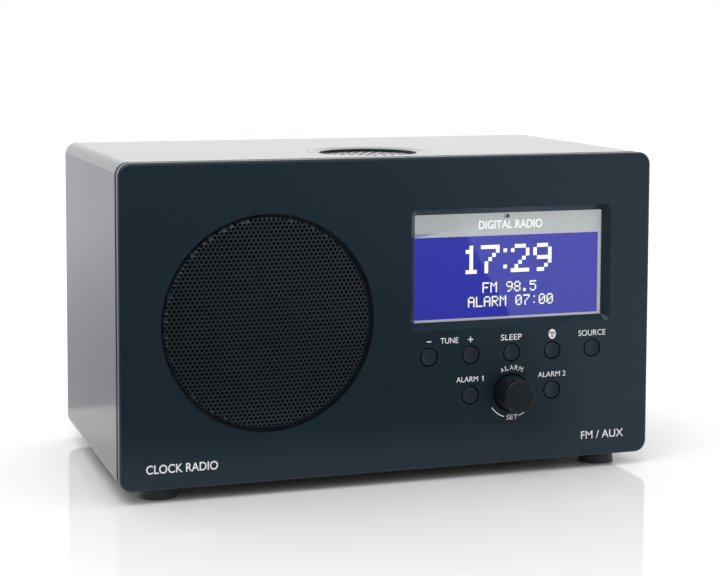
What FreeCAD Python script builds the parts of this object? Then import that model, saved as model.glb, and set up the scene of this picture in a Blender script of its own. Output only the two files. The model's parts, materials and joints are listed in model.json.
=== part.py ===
"""Tabletop clock radio: cabinet, front panel with display and controls, loudspeaker, back and boards.

X runs to the right, Y to the back and Z up. The origin is on the table, under the middle of the radio.
Depths are counted backwards from the face of the front panel, heights from its bottom edge.
"""
import FreeCAD, Part
import os
import re

import Sketcher

# Every size that can be set by itself, in millimetres.
SIZES = [
    ("case_width", 187.0, "front panel and cabinet, side to side"),
    ("case_height", 105.6, "front panel and cabinet, bottom to top"),
    ("case_depth", 102.4, "face of the front panel to the back edge of the cabinet"),
    ("corner_radius", 4.2, "long edges of the cabinet and corners of the front panel"),
    ("wall", 6.0, "cabinet wall"),
    ("inner_radius", 2.0, "inside corners of the cabinet"),
    ("end_rounding", 0.8, "edges at the cabinet's two ends"),
    ("foot_height", 4.4, "cabinet above the table"),
    ("foot_radius", 6.4, "foot, at the table"),
    ("foot_top_radius", 5.6, "foot, at the cabinet"),
    ("foot_floor", 1.6, "foot, rubber between its screw's head and the cabinet"),
    ("foot_side_inset", 14.5, "foot centre from the cabinet's side"),
    ("foot_end_inset", 11.0, "foot centre from the radio's face or back edge"),
    ("plate", 3.0, "front panel, thickness"),
    ("plate_rounding", 1.1, "front panel, edge of the face"),
    ("groove_width", 2.0, "shadow groove between front panel and cabinet"),
    ("groove_depth", 2.0, "how far the groove goes in"),
    ("panel_fit", 0.2, "front and back panels to the cabinet's inside, each side"),
    ("rim", 2.0, "plug rim of the front panel, thickness"),
    ("rim_length", 8.0, "plug rim, length inside the cabinet"),
    ("block", 12.0, "corner blocks, across and along"),
    ("corner_post_length", 13.0, "front panel's corner posts behind the groove"),
    ("corner_post_radius", 4.0, "front panel's corner posts"),
    ("corner_screw_inset", 6.0, "corner screws from the cabinet's inside faces"),
    ("big_screw", 1.45, "case screws, shank radius"),
    ("big_head", 2.9, "case screws, head radius"),
    ("big_head_height", 1.8, "case screws, head height"),
    ("small_screw", 1.1, "board and loudspeaker screws, shank radius"),
    ("small_head", 2.1, "board and loudspeaker screws, head radius"),
    ("small_head_height", 1.4, "board and loudspeaker screws, head height"),
    ("slot_width", 0.7, "arms of the cross in a screw's head"),
    ("slot_depth", 0.9, "depth of the cross"),
    ("slot_length", 1.3, "length of the cross, in radii of the head"),
    ("thread_fit", 0.05, "screw shank to its pilot hole, radially"),
    ("hole_fit", 0.2, "screw shank to a clearance hole, radially"),
    ("pilot_floor", 1.0, "material left under a pilot hole"),
    ("post_floor", 3.0, "posts behind the front panel, solid part before the pilot hole"),
    ("screw_spare", 0.5, "room left in a pilot hole beyond the screw's end"),
    ("speaker_across", -44.05, "loudspeaker's axis from the middle"),
    ("speaker_up", 52.5, "loudspeaker's axis above the panel's bottom edge"),
    ("opening_radius", 35.9, "round opening in the front panel"),
    ("grille_gap", 0.7, "dark ring between grille and front panel"),
    ("grille_front", -0.6, "middle of the grille, depth"),
    ("grille_rise", 1.2, "how far the middle of the grille stands above its edge"),
    ("grille_bend", 1.2, "bend at the grille's edge"),
    ("grille_skin", 0.6, "grille sheet"),
    ("grille_lip", 1.4, "flat lip of the grille, beyond its wall"),
    ("seat_height", 2.0, "loudspeaker seat behind the front panel"),
    ("seat_width", 3.6, "loudspeaker seat, ring width"),
    ("lug_radius", 4.2, "loudspeaker's four screw lugs"),
    ("lug_circle", 30.4, "screw lugs from the axis, across and up"),
    ("basket_sheet", 1.2, "basket, sheet thickness"),
    ("basket_mouth", 32.0, "basket, radius of its mouth"),
    ("basket_depth", 18.2, "front of the flange to the front of the magnet system"),
    ("basket_back_radius", 20.0, "front plate and basket back"),
    ("basket_back_bore", 12.0, "opening in the basket's back"),
    ("basket_window", 0.42, "basket's side windows, half their width in radii"),
    ("cone_radius", 27.8, "cone with its edge land"),
    ("cone_land", 1.8, "flat edge of the cone"),
    ("cone_depth", 12.0, "cone, front to neck"),
    ("cone_paper", 0.6, "cone, thickness along its axis"),
    ("surround_land", 2.2, "surround's flat outer edge"),
    ("surround_roll", 1.5, "height of the surround's roll"),
    ("rubber_sheet", 0.5, "surround, thickness"),
    ("cap_radius", 11.0, "dust cap"),
    ("cap_rise", 3.6, "dust cap, height of its dome"),
    ("cap_sheet", 0.4, "dust cap, thickness"),
    ("dome_flat", 1.0, "flat middle of the grille and the dust cap, radius"),
    ("former_radius", 8.1, "voice coil former, outside"),
    ("former_wall", 0.4, "voice coil former"),
    ("former_length", 14.5, "voice coil former"),
    ("winding", 0.4, "voice coil winding, thickness"),
    ("winding_length", 6.0, "voice coil winding"),
    ("coil_gap", 0.4, "winding to front plate, radially"),
    ("pole_gap", 0.5, "former to pole, radially"),
    ("spider_cloth", 0.4, "spider, thickness"),
    ("spider_wave", 1.0, "spider, height of a wave"),
    ("iron", 4.0, "front plate and back plate"),
    ("magnet_radius", 22.5, "magnet, outside"),
    ("magnet_bore", 11.0, "magnet, inside"),
    ("magnet_thickness", 10.0, "magnet"),
    ("magnet_chamfer", 1.0, "magnet's outer edges"),
    ("vent_radius", 3.0, "vent through the pole"),
    ("display_across", 41.75, "display's centre from the middle"),
    ("display_up", 67.6, "display's centre above the panel's bottom edge"),
    ("display_width", 73.5, "display recess at the face"),
    ("display_height", 40.8, "display recess at the face"),
    ("display_wall_corner", 1.8, "corners of the wall around the lens's pocket"),
    ("bevel_width", 2.15, "sloped wall of the recess, seen from the front"),
    ("bevel_depth", 2.8, "sloped wall of the recess, depth"),
    ("bevel_corner", 0.3, "recess, corner radius at its bottom"),
    ("bevel_land", 0.5, "straight wall under the slope"),
    ("lens_lap", 1.4, "lens beyond the recess's bottom, each side"),
    ("lens_fit", 0.2, "lens to its pocket, each side"),
    ("lens", 1.2, "lens"),
    ("mask", 0.2, "printed mask behind the lens"),
    ("display_back_wall", 2.4, "wall around the lens's pocket"),
    ("pocket_rim", 0.8, "pocket's wall behind the lens's back"),
    ("window_width", 68.0, "blue area"),
    ("window_height", 28.0, "blue area"),
    ("window_up", 63.9, "blue area's centre above the panel's bottom edge"),
    ("window_across", 41.8, "blue area's centre from the middle"),
    ("sensor_up", 84.5, "light sensor above the panel's bottom edge"),
    ("sensor_hole", 0.7, "light sensor's hole in the mask"),
    ("sensor_radius", 1.5, "light sensor"),
    ("cell_margin", 1.4, "display cell beyond the blue area, each side"),
    ("cell_thickness", 2.6, "display cell"),
    ("backlight_thickness", 2.4, "backlight"),
    ("holder_wall", 2.5, "display holder, wall"),
    ("button_pitch", 15.08, "button to button, across"),
    ("button_across", 41.65, "middle button and knob from the middle"),
    ("button_up", 38.1, "upper row of buttons above the panel's bottom edge"),
    ("alarm_up", 24.25, "lower row of buttons and knob"),
    ("button_radius", 2.85, "button cap"),
    ("button_gap", 0.35, "button cap to its hole"),
    ("button_front", 0.0, "button cap, depth of its face"),
    ("button_dish", 0.25, "hollow of a button's face"),
    ("button_edge", 0.4, "rounded edge of a button's face"),
    ("button_lip", 1.1, "button's lip beyond its cap"),
    ("lip_clearance", 0.15, "button's lip behind the panel"),
    ("lip_thickness", 0.9, "button's lip"),
    ("stem_radius", 1.5, "button's stem"),
    ("board_depth", 12.0, "front of the control board"),
    ("board", 1.6, "circuit boards"),
    ("switch_side", 6.0, "tactile switch, side"),
    ("switch_height", 3.4, "tactile switch without its plunger"),
    ("plunger_radius", 1.7, "tactile switch's plunger"),
    ("plunger_proud", 1.4, "plunger above the switch"),
    ("plunger_length", 2.4, "plunger"),
    ("plunger_gap", 0.3, "plunger to the switch, radially"),
    ("press_travel", 0.5, "how far a button goes in"),
    ("press_spare", 0.6, "room left under a plunger at full travel"),
    ("knob_reach", 8.0, "knob in front of the panel"),
    ("knob_radius", 6.2, "knob at the panel"),
    ("knob_front_radius", 5.6, "knob at its front"),
    ("knob_rounding", 0.6, "knob's front edge"),
    ("knob_gap", 0.4, "knob to its hole"),
    ("knob_sink", 1.5, "knob's skirt behind the panel's face"),
    ("knob_face", 2.0, "knob's front wall"),
    ("shaft_radius", 3.0, "encoder shaft"),
    ("shaft_fit", 0.06, "encoder shaft to its bushing, radially"),
    ("bushing_wall", 1.0, "encoder bushing"),
    ("bushing_length", 3.0, "encoder bushing"),
    ("encoder_side", 12.4, "encoder body, side"),
    ("encoder_height", 6.0, "encoder body"),
    ("encoder_roof", 1.0, "encoder body, wall in front of its chamber"),
    ("encoder_floor", 0.8, "encoder body, wall behind its chamber"),
    ("push_travel", 0.8, "how far the knob goes in"),
    ("push_spare", 0.2, "room left under the knob's plunger at full travel"),
    ("push_plunger_radius", 3.2, "plunger under the encoder shaft"),
    ("push_plunger", 1.2, "plunger under the encoder shaft, thickness"),
    ("board_left", 3.0, "control board's left edge from the middle"),
    ("board_right", 77.2, "control board's right edge from the middle"),
    ("board_low", 16.8, "control board's lower edge"),
    ("board_top", 96.4, "control board's upper edge"),
    ("board_post_radius", 2.6, "posts under the control board"),
    ("board_post_inset", 4.2, "posts from the control board's side edges"),
    ("board_post_low", 24.25, "lower posts above the panel's bottom edge"),
    ("board_post_high", 93.4, "upper posts above the panel's bottom edge"),
    ("dish_back", 31.0, "top dish's centre behind the face"),
    ("dish_radius", 20.8, "top dish, outside"),
    ("dish_fit", 0.15, "top dish to the cabinet"),
    ("dish_flange", 1.6, "top dish's flange"),
    ("dish_sleeve_radius", 18.4, "top dish's sleeve, outside"),
    ("dish_opening", 17.0, "top dish, edge of the well"),
    ("dish_slope", 0.4, "top dish, depth of the sloped ring"),
    ("dish_rim", 0.5, "top dish, flat outer rim"),
    ("well_depth", 1.3, "perforated disc below the cabinet's top"),
    ("well_ledge", 1.2, "ledge that carries the disc"),
    ("well_tail", 3.2, "top dish's sleeve below the ledge"),
    ("disc", 0.6, "perforated disc"),
    ("disc_fit", 0.1, "perforated disc to the dish"),
    ("disc_hole", 1.0, "holes of the disc, radius"),
    ("disc_pitch", 3.0, "ring to ring in the disc"),
    ("contact_radius", 3.0, "contact under the disc"),
    ("contact_length", 5.0, "contact under the disc"),
    ("back_plate", 3.0, "back panel"),
    ("back_inset", 1.0, "back panel inside the cabinet's back edge"),
    ("main_width", 124.0, "main board"),
    ("main_height", 56.0, "main board"),
    ("main_up", 52.0, "main board's centre above the panel's bottom edge"),
    ("main_gap", 10.4, "main board to back panel"),
    ("main_post_radius", 3.0, "posts between back panel and main board"),
    ("main_post_inset", 6.0, "posts from the main board's edges"),
    ("socket_up", 36.0, "row of sockets above the panel's bottom edge"),
    ("socket_pitch", 26.0, "socket to socket"),
    ("jack_nose", 4.0, "audio socket's nose, radius"),
    ("jack_bore", 1.8, "audio socket's bore, radius"),
    ("jack_depth", 12.0, "audio socket's bore, depth"),
    ("jack_side", 10.0, "audio and power socket's body"),
    ("power_bore", 2.8, "power inlet's bore, radius"),
    ("power_pin", 1.0, "power inlet's pin, radius"),
    ("power_depth", 9.0, "power inlet's bore, depth"),
    ("power_pin_sink", 1.0, "power inlet's pin behind the inlet's mouth"),
    ("aerial_nose", 4.7, "aerial socket's nose, radius"),
    ("aerial_proud", 0.8, "aerial socket behind the back panel"),
    ("aerial_bore", 1.0, "aerial socket's bore, radius"),
    ("aerial_depth", 8.0, "aerial socket's bore, depth"),
    ("nose_fit", 0.2, "sockets to the holes of the back panel"),
    ("cable_across", 20.0, "flat cable from the middle"),
    ("cable_up", 30.0, "flat cable's ends above the panel's bottom edge"),
    ("cable_width", 12.0, "flat cable"),
    ("cable_thickness", 0.8, "flat cable"),
    ("cable_sag", 6.0, "flat cable's sag"),
    ("plug_length", 4.0, "flat cable's connectors, along the cable"),
    ("plug_width", 15.0, "flat cable's connectors, across"),
    ("plug_height", 5.0, "flat cable's connectors"),
    ("capacitor_radius", 5.0, "two capacitors on the main board"),
    ("capacitor_length", 12.0, "two capacitors on the main board"),
    ("capacitor_spacing", 13.0, "capacitor to capacitor"),
    ("capacitor_across", -34.0, "capacitors from the middle"),
    ("capacitor_up", 58.0, "capacitors above the panel's bottom edge"),
    ("module_width", 18.0, "radio module on the main board"),
    ("module_height", 14.0, "radio module on the main board"),
    ("module_thickness", 2.4, "radio module on the main board"),
    ("module_across", 30.0, "radio module from the middle"),
    ("module_up", 62.0, "radio module above the panel's bottom edge"),
]

FRONT = "XZ_Plane"
LEVEL = "XY_Plane"
SIDE = "YZ_Plane"

# Places that follow from the sizes.
FACE = "(knob_reach - (case_depth + knob_reach) / 2)"
BOTTOM = "foot_height"
SLEEVE = "(plate + groove_width)"
INSIDE_WIDTH = "(case_width - 2 * wall)"
INSIDE_HEIGHT = "(case_height - 2 * wall)"
PLUG_WIDTH = f"({INSIDE_WIDTH} - 2 * panel_fit)"
PLUG_HEIGHT = f"({INSIDE_HEIGHT} - 2 * panel_fit)"
POST_END = f"({SLEEVE} + corner_post_length)"
PILOT_START = "(plate + post_floor)"
BACK_FACE = "(case_depth - back_inset)"
BACK_INNER = f"({BACK_FACE} - back_plate)"
CORNER_ACROSS = f"({INSIDE_WIDTH} / 2 - corner_screw_inset)"
CORNER_LOW = "(wall + corner_screw_inset)"
CORNER_HIGH = "(case_height - wall - corner_screw_inset)"
FOOT_ACROSS = "(case_width / 2 - foot_side_inset)"

GRILLE_RADIUS = "(opening_radius - grille_gap)"
LIP_RADIUS = f"({GRILLE_RADIUS} + grille_lip)"
LIP_FRONT = "(grille_front + grille_rise + grille_bend)"
SEAT_BORE = f"({LIP_RADIUS} + panel_fit)"
SEAT_RADIUS = f"({SEAT_BORE} + seat_width)"
SEAT_FACE = "(plate + seat_height)"
CONE_FRONT = SEAT_FACE
CONE_EDGE = "(cone_radius - cone_land)"
NECK = f"({CONE_FRONT} + cone_depth)"
CONE_SLOPE = f"(cone_depth / ({CONE_EDGE} - former_radius))"
BASKET_BACK = f"({SEAT_FACE} + basket_depth)"
SPIDER_SEAT = f"({BASKET_BACK} - basket_sheet)"
COIL_START = f"({NECK} - 1.5 * former_wall)"
COIL_END = f"({COIL_START} + former_length)"
MAGNET_FRONT = f"({BASKET_BACK} + iron)"
MAGNET_BACK = f"({MAGNET_FRONT} + magnet_thickness)"
POLE_RADIUS = "(former_radius - former_wall - pole_gap)"
GAP_RADIUS = "(former_radius + winding + coil_gap)"

RECESS_WIDTH = "(display_width - 2 * bevel_width)"
RECESS_HEIGHT = "(display_height - 2 * bevel_width)"
LENS_FRONT = "(bevel_depth + bevel_land)"
LENS_WIDTH = f"({RECESS_WIDTH} + 2 * lens_lap)"
LENS_HEIGHT = f"({RECESS_HEIGHT} + 2 * lens_lap)"
MASK_FRONT = f"({LENS_FRONT} + lens)"
CELL_FRONT = f"({MASK_FRONT} + mask)"
CELL_WIDTH = "(window_width + 2 * cell_margin)"
CELL_HEIGHT = "(window_height + 2 * cell_margin)"
LIGHT_FRONT = f"({CELL_FRONT} + cell_thickness)"
HOLDER_FRONT = f"({LIGHT_FRONT} + backlight_thickness)"
DISPLAY_BACK = f"({MASK_FRONT} + pocket_rim)"
BOARD_BACK = "(board_depth + board)"

HOLE_RADIUS = "(button_radius + button_gap)"
SWITCH_FRONT = "(board_depth - switch_height)"
PLUNGER_FRONT = f"({SWITCH_FRONT} - plunger_proud)"
LIP_START = "(plate + lip_clearance)"
ENCODER_FRONT = "(board_depth - encoder_height)"
PUSH_FLOOR = "(board_depth - encoder_floor)"
PUSH_REST = f"({PUSH_FLOOR} - push_spare - push_travel - push_plunger)"

MAIN_BACK = f"({BACK_INNER} - main_gap)"
MAIN_FRONT = f"({MAIN_BACK} - board)"
MAIN_POST_ACROSS = "(main_width / 2 - main_post_inset)"
MAIN_POST_LOW = "(main_up - main_height / 2 + main_post_inset)"
MAIN_POST_HIGH = "(main_up + main_height / 2 - main_post_inset)"

BUTTONS = [
    ("tune_down_button", -2, "button_up"),
    ("tune_up_button", -1, "button_up"),
    ("sleep_button", 0, "button_up"),
    ("wireless_button", 1, "button_up"),
    ("source_button", 2, "button_up"),
    ("alarm_1_button", -1, "alarm_up"),
    ("alarm_2_button", 1, "alarm_up"),
]

# The spider's profile: share of the way from the former to the basket, and height in waves.
SPIDER = [(0, 1.5), (0.12, 1.5), (0.22, 1), (0.32, 2), (0.42, 1), (0.52, 2), (0.62, 1), (0.75, 0), (0.98, 0)]

document = FreeCAD.newDocument("Radio")
parts = []


def sheet_names(formula):
    """The formula with every name of the sheet spelled out for an expression."""
    return re.sub(r"\b[a-z]\w*\b(?!\()", r"Sizes.\g<0>", formula)


def tie(thing, place, formula):
    thing.setExpression(place, sheet_names(formula))


def measure(formula):
    return float(sheet.evalExpression(sheet_names(formula)))


def make_sheet():
    made = document.addObject("Spreadsheet::Sheet", "Sizes")
    for row, (name, value, note) in enumerate(SIZES, start=1):
        made.set(f"A{row}", name)
        made.set(f"B{row}", str(value))
        made.set(f"C{row}", note)
        made.setAlias(f"B{row}", name)
    document.recompute()
    return made


# Bodies and sketches

def new_body(name, across="0", depth="0", up="0", pieces=1):
    """A body at its place on the radio; a group of like pieces is one body of several solids."""
    body = document.addObject("PartDesign::Body", name)
    body.Label = name
    body.AllowCompound = pieces > 1
    tie(body, "Placement.Base.x", across)
    tie(body, "Placement.Base.y", f"{FACE} + {depth}")
    tie(body, "Placement.Base.z", f"{BOTTOM} + {up}")
    parts.append((body, pieces))
    return body


def origin_part(body, role):
    return next(part for part in body.Origin.OriginFeatures if part.Role == role)


def new_sketch(body, plane, start="0"):
    """A sketch on an origin plane of the body; start moves it back, up or right."""
    sketch = body.newObject("Sketcher::SketchObject", body.Name + "_sketch")
    sketch.AttachmentSupport = [(origin_part(body, plane), "")]
    sketch.MapMode = "FlatFace"
    forward = "-" if plane == FRONT else ""
    tie(sketch, "AttachmentOffset.Base.z", f"{forward}({start})")
    return sketch


def tie_point(sketch, edge, end, across, up):
    for kind, formula in (("DistanceX", across), ("DistanceY", up)):
        rule = Sketcher.Constraint(kind, -1, 1, edge, end, measure(formula))
        number = sketch.addConstraint(rule)
        tie(sketch, f"Constraints[{number}]", formula)


def draw_circle(sketch, across, up, radius):
    centre = FreeCAD.Vector(measure(across), measure(up), 0)
    circle = Part.Circle(centre, FreeCAD.Vector(0, 0, 1), measure(radius))
    edge = sketch.addGeometry(circle)
    tie_point(sketch, edge, 3, across, up)
    number = sketch.addConstraint(Sketcher.Constraint("Radius", edge, measure(radius)))
    tie(sketch, f"Constraints[{number}]", radius)


def draw_outline(sketch, corners):
    """A closed outline. A corner is (across, up); with two more values the edge that leaves it
    is an arc through that middle point."""
    spots = [FreeCAD.Vector(measure(corner[0]), measure(corner[1]), 0) for corner in corners]
    joints = []
    for number, corner in enumerate(corners):
        first, last = spots[number], spots[(number + 1) % len(spots)]
        if len(corner) == 2:
            edge = sketch.addGeometry(Part.LineSegment(first, last))
            joints.append((edge, 1, 2))
            continue
        middle = FreeCAD.Vector(measure(corner[2]), measure(corner[3]), 0)
        edge = sketch.addGeometry(Part.Arc(first, middle, last))
        forwards = sketch.getPoint(edge, 1).distanceToPoint(first) < 1e-6
        joints.append((edge, 1, 2) if forwards else (edge, 2, 1))
        point = sketch.addGeometry(Part.Point(middle), True)
        tie_point(sketch, point, 1, corner[2], corner[3])
        sketch.addConstraint(Sketcher.Constraint("PointOnObject", point, 1, edge))
    for number, corner in enumerate(corners):
        edge, start, end = joints[number]
        following, next_start, _ = joints[(number + 1) % len(joints)]
        sketch.addConstraint(Sketcher.Constraint("Coincident", edge, end, following, next_start))
        tie_point(sketch, edge, start, corner[0], corner[1])


def draw_box(sketch, across, up, width, height, radius=None):
    """A rectangle about its centre, with round corners where it has a radius."""
    left, right = f"({across}) - ({width}) / 2", f"({across}) + ({width}) / 2"
    low, high = f"({up}) - ({height}) / 2", f"({up}) + ({height}) / 2"
    if radius is None:
        draw_outline(sketch, [(left, low), (right, low), (right, high), (left, high)])
        return
    middle = f"({radius}) * (1 - sqrt(0.5))"
    draw_outline(sketch, [
        (f"{left} + {radius}", low),
        (f"{right} - {radius}", low, f"{right} - {middle}", f"{low} + {middle}"),
        (right, f"{low} + {radius}"),
        (right, f"{high} - {radius}", f"{right} - {middle}", f"{high} - {middle}"),
        (f"{right} - {radius}", high),
        (f"{left} + {radius}", high, f"{left} + {middle}", f"{high} - {middle}"),
        (left, f"{high} - {radius}"),
        (left, f"{low} + {radius}", f"{left} + {middle}", f"{low} + {middle}"),
    ])


# Features

def pad(body, sketch, length, forward=False):
    """Adds material: back from a front sketch, up from a level one, unless it goes forward."""
    feature = body.newObject("PartDesign::Pad", body.Name + "_pad")
    feature.Profile = sketch
    feature.Reversed = (sketch.AttachmentSupport[0][0].Role == FRONT) != forward
    tie(feature, "Length", length)
    document.recompute()
    return feature


def pocket(body, sketch, length, forward=False):
    """Removes material: back from a front sketch, down from a level one, unless it goes forward."""
    before = body.Shape.Volume
    feature = body.newObject("PartDesign::Pocket", body.Name + "_pocket")
    feature.Profile = sketch
    feature.Reversed = forward
    tie(feature, "Length", length)
    document.recompute()
    if body.Shape.Volume > before - 1e-6:
        raise RuntimeError(f"{body.Label}: a pocket removes nothing")
    return feature


def turn(body, corners):
    """A turned piece: across is the distance from the axis, up is the distance along it."""
    sketch = new_sketch(body, FRONT)
    draw_outline(sketch, corners)
    feature = body.newObject("PartDesign::Revolution", body.Name + "_turned")
    feature.Profile = sketch
    feature.ReferenceAxis = (sketch, ["V_Axis"])
    feature.Angle = 360
    document.recompute()
    return feature


def lay_back(body):
    """Turns the body so that its own Z axis points to the radio's back."""
    body.Placement.Rotation = FreeCAD.Rotation(FreeCAD.Vector(1, 0, 0), -90)
    document.recompute()


def repeat_round(body, feature, count):
    pattern = body.newObject("PartDesign::PolarPattern", body.Name + "_round")
    pattern.Originals = [feature]
    pattern.Axis = (origin_part(body, "Z_Axis"), [""])
    pattern.Angle = 360
    pattern.Occurrences = count
    body.Tip = pattern
    document.recompute()


def round_edges(body, radius, wanted):
    names = [f"Edge{number}" for number, edge in enumerate(body.Shape.Edges, start=1) if wanted(edge)]
    last = body.Tip
    feature = body.newObject("PartDesign::Fillet", body.Name + "_rounding")
    feature.Base = (last, names)
    tie(feature, "Radius", radius)
    document.recompute()


def at_depth(formula):
    """Picks the edges that lie flat at a depth behind the radio's face."""
    place = measure(f"{FACE} + {formula}")
    return lambda edge: edge.BoundBox.YLength < 1e-6 and abs(edge.BoundBox.YMin - place) < 1e-6


def at_depth_outside(formula):
    """The same, but only the edges on the cabinet's outside."""
    flat = at_depth(formula)
    inner = measure(f"{INSIDE_WIDTH} / 2") + 1e-3
    low, high = measure(f"{BOTTOM} + wall") - 1e-3, measure(f"{BOTTOM} + case_height - wall") + 1e-3

    def wanted(edge):
        box = edge.BoundBox
        sides = box.XMin > inner or box.XMax < -inner
        return flat(edge) and (sides or box.ZMax < low or box.ZMin > high)
    return wanted


def four(across, low, high):
    """The four places that mirror each other about the radio's middle plane."""
    return [(f"-{across}", low), (across, low), (across, high), (f"-{across}", high)]


def circles(body, plane, start, places, radius):
    sketch = new_sketch(body, plane, start)
    for across, up in places:
        draw_circle(sketch, across, up, radius)
    return sketch


def screws(name, plane, places, seat, shank, kind, downward=False):
    """Like screws whose heads stand on seat; their shanks go the other way, forward or up."""
    body = new_body(name, pieces=len(places))
    radius, head, height = f"{kind}_screw", f"{kind}_head", f"{kind}_head_height"
    end = f"({seat} - {height})" if downward else f"({seat} + {height})"
    heads = circles(body, plane, seat, places, head)
    pad(body, heads, height, forward=downward)
    shanks = circles(body, plane, seat, places, radius)
    pad(body, shanks, shank, forward=not downward)
    cut_crosses(body, plane, end, places, head, forward=(plane == FRONT) != downward)


def cut_crosses(body, plane, end, places, head, forward=False):
    length = f"slot_length * {head}"
    for wide, tall in ((length, "slot_width"), ("slot_width", length)):
        cross = new_sketch(body, plane, end)
        for across, up in places:
            draw_box(cross, across, up, wide, tall)
        pocket(body, cross, "slot_depth", forward=forward)


# Casing

def make_cabinet():
    body = new_body("cabinet")
    sleeve = new_sketch(body, FRONT, SLEEVE)
    draw_box(sleeve, "0", "case_height / 2", "case_width", "case_height", "corner_radius")
    draw_box(sleeve, "0", "case_height / 2", INSIDE_WIDTH, INSIDE_HEIGHT, "inner_radius")
    pad(body, sleeve, f"case_depth - {SLEEVE}")
    ends = [at_depth_outside(SLEEVE), at_depth_outside("case_depth")]
    round_edges(body, "end_rounding", lambda edge: any(end(edge) for end in ends))
    for start in (POST_END, f"({BACK_INNER} - block)"):
        blocks = new_sketch(body, FRONT, start)
        reach = "(block + wall / 2)"
        low, high = f"(wall + block - {reach} / 2)", f"(case_height - wall - block + {reach} / 2)"
        for across, up in four(f"({INSIDE_WIDTH} / 2 - block + {reach} / 2)", low, high):
            draw_box(blocks, across, up, reach, reach)
        pad(body, blocks, "block")
    corners = four(CORNER_ACROSS, CORNER_LOW, CORNER_HIGH)
    pocket(body, circles(body, FRONT, POST_END, corners, "big_screw + hole_fit"), "block")
    pilot = "(block - pilot_floor)"
    back_holes = circles(body, FRONT, f"({BACK_INNER} - {pilot})", corners, "big_screw + thread_fit")
    pocket(body, back_holes, pilot)
    seat = circles(body, LEVEL, "case_height", [("0", "dish_back")], "dish_radius + dish_fit")
    pocket(body, seat, "dish_flange")
    well = circles(body, LEVEL, "case_height", [("0", "dish_back")], "dish_sleeve_radius + dish_fit")
    pocket(body, well, "wall")
    feet = four(FOOT_ACROSS, "foot_end_inset", "(case_depth - foot_end_inset)")
    foot_holes = circles(body, LEVEL, "0", feet, "big_screw + thread_fit")
    pocket(body, foot_holes, "wall - pilot_floor", forward=True)


def make_front_panel():
    body = new_body("front_panel")
    face = new_sketch(body, FRONT)
    draw_box(face, "0", "case_height / 2", "case_width", "case_height", "corner_radius")
    pad(body, face, "plate")
    round_edges(body, "plate_rounding", at_depth("0"))
    neck = new_sketch(body, FRONT, "plate")
    middle = ("0", "case_height / 2")
    draw_box(neck, *middle, "case_width - 2 * groove_depth", "case_height - 2 * groove_depth",
             "corner_radius - groove_depth / 2")
    draw_box(neck, *middle, f"{PLUG_WIDTH} - 2 * rim", f"{PLUG_HEIGHT} - 2 * rim", "inner_radius")
    pad(body, neck, "groove_width")
    rim = new_sketch(body, FRONT, SLEEVE)
    draw_box(rim, *middle, PLUG_WIDTH, PLUG_HEIGHT, "inner_radius")
    draw_box(rim, *middle, f"{PLUG_WIDTH} - 2 * rim", f"{PLUG_HEIGHT} - 2 * rim", "inner_radius")
    pad(body, rim, "rim_length")
    add_speaker_seat(body)
    add_display_recess(body)
    add_posts(body)
    holes = new_sketch(body, FRONT)
    for _, column, up in BUTTONS:
        draw_circle(holes, f"button_across + {column} * button_pitch", up, HOLE_RADIUS)
    draw_circle(holes, "button_across", "alarm_up", "knob_radius + knob_gap")
    pocket(body, holes, "plate")


def speaker_lugs():
    low, high = "(speaker_up - lug_circle)", "(speaker_up + lug_circle)"
    left, right = "(speaker_across - lug_circle)", "(speaker_across + lug_circle)"
    return [(left, low), (right, low), (right, high), (left, high)]


def add_speaker_seat(body):
    axis = [("speaker_across", "speaker_up")]
    pad(body, circles(body, FRONT, "plate", axis, SEAT_RADIUS), "seat_height")
    pad(body, circles(body, FRONT, "plate", speaker_lugs(), "lug_radius"), "seat_height")
    pocket(body, circles(body, FRONT, "0", axis, "opening_radius"), SEAT_FACE)
    pocket(body, circles(body, FRONT, LIP_FRONT, axis, SEAT_BORE), f"{SEAT_FACE} - {LIP_FRONT}")
    screw_holes = circles(body, FRONT, "plate / 2", speaker_lugs(), "small_screw + thread_fit")
    pocket(body, screw_holes, f"{SEAT_FACE} - plate / 2")


def add_display_recess(body):
    middle = ("display_across", "display_up")
    wall = new_sketch(body, FRONT, "plate")
    outer_width = f"{LENS_WIDTH} + 2 * lens_fit + 2 * display_back_wall"
    outer_height = f"{LENS_HEIGHT} + 2 * lens_fit + 2 * display_back_wall"
    draw_box(wall, *middle, outer_width, outer_height, "display_wall_corner")
    pad(body, wall, f"{DISPLAY_BACK} - plate")
    slope = new_sketch(body, FRONT, "bevel_depth")
    draw_box(slope, *middle, RECESS_WIDTH, RECESS_HEIGHT, "bevel_corner")
    widening = pocket(body, slope, "bevel_depth", forward=True)
    tie(widening, "TaperAngle", "atan(bevel_width / bevel_depth)")
    land = new_sketch(body, FRONT, "bevel_depth")
    draw_box(land, *middle, RECESS_WIDTH, RECESS_HEIGHT, "bevel_corner")
    pocket(body, land, f"{DISPLAY_BACK} - bevel_depth")
    pocket_back = new_sketch(body, FRONT, LENS_FRONT)
    draw_box(pocket_back, *middle, f"{LENS_WIDTH} + 2 * lens_fit", f"{LENS_HEIGHT} + 2 * lens_fit")
    pocket(body, pocket_back, f"{DISPLAY_BACK} - {LENS_FRONT}")


def board_posts():
    left, right = "(board_left + board_post_inset)", "(board_right - board_post_inset)"
    return [(left, "board_post_low"), (right, "board_post_low"),
            (right, "board_post_high"), (left, "board_post_high")]


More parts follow.
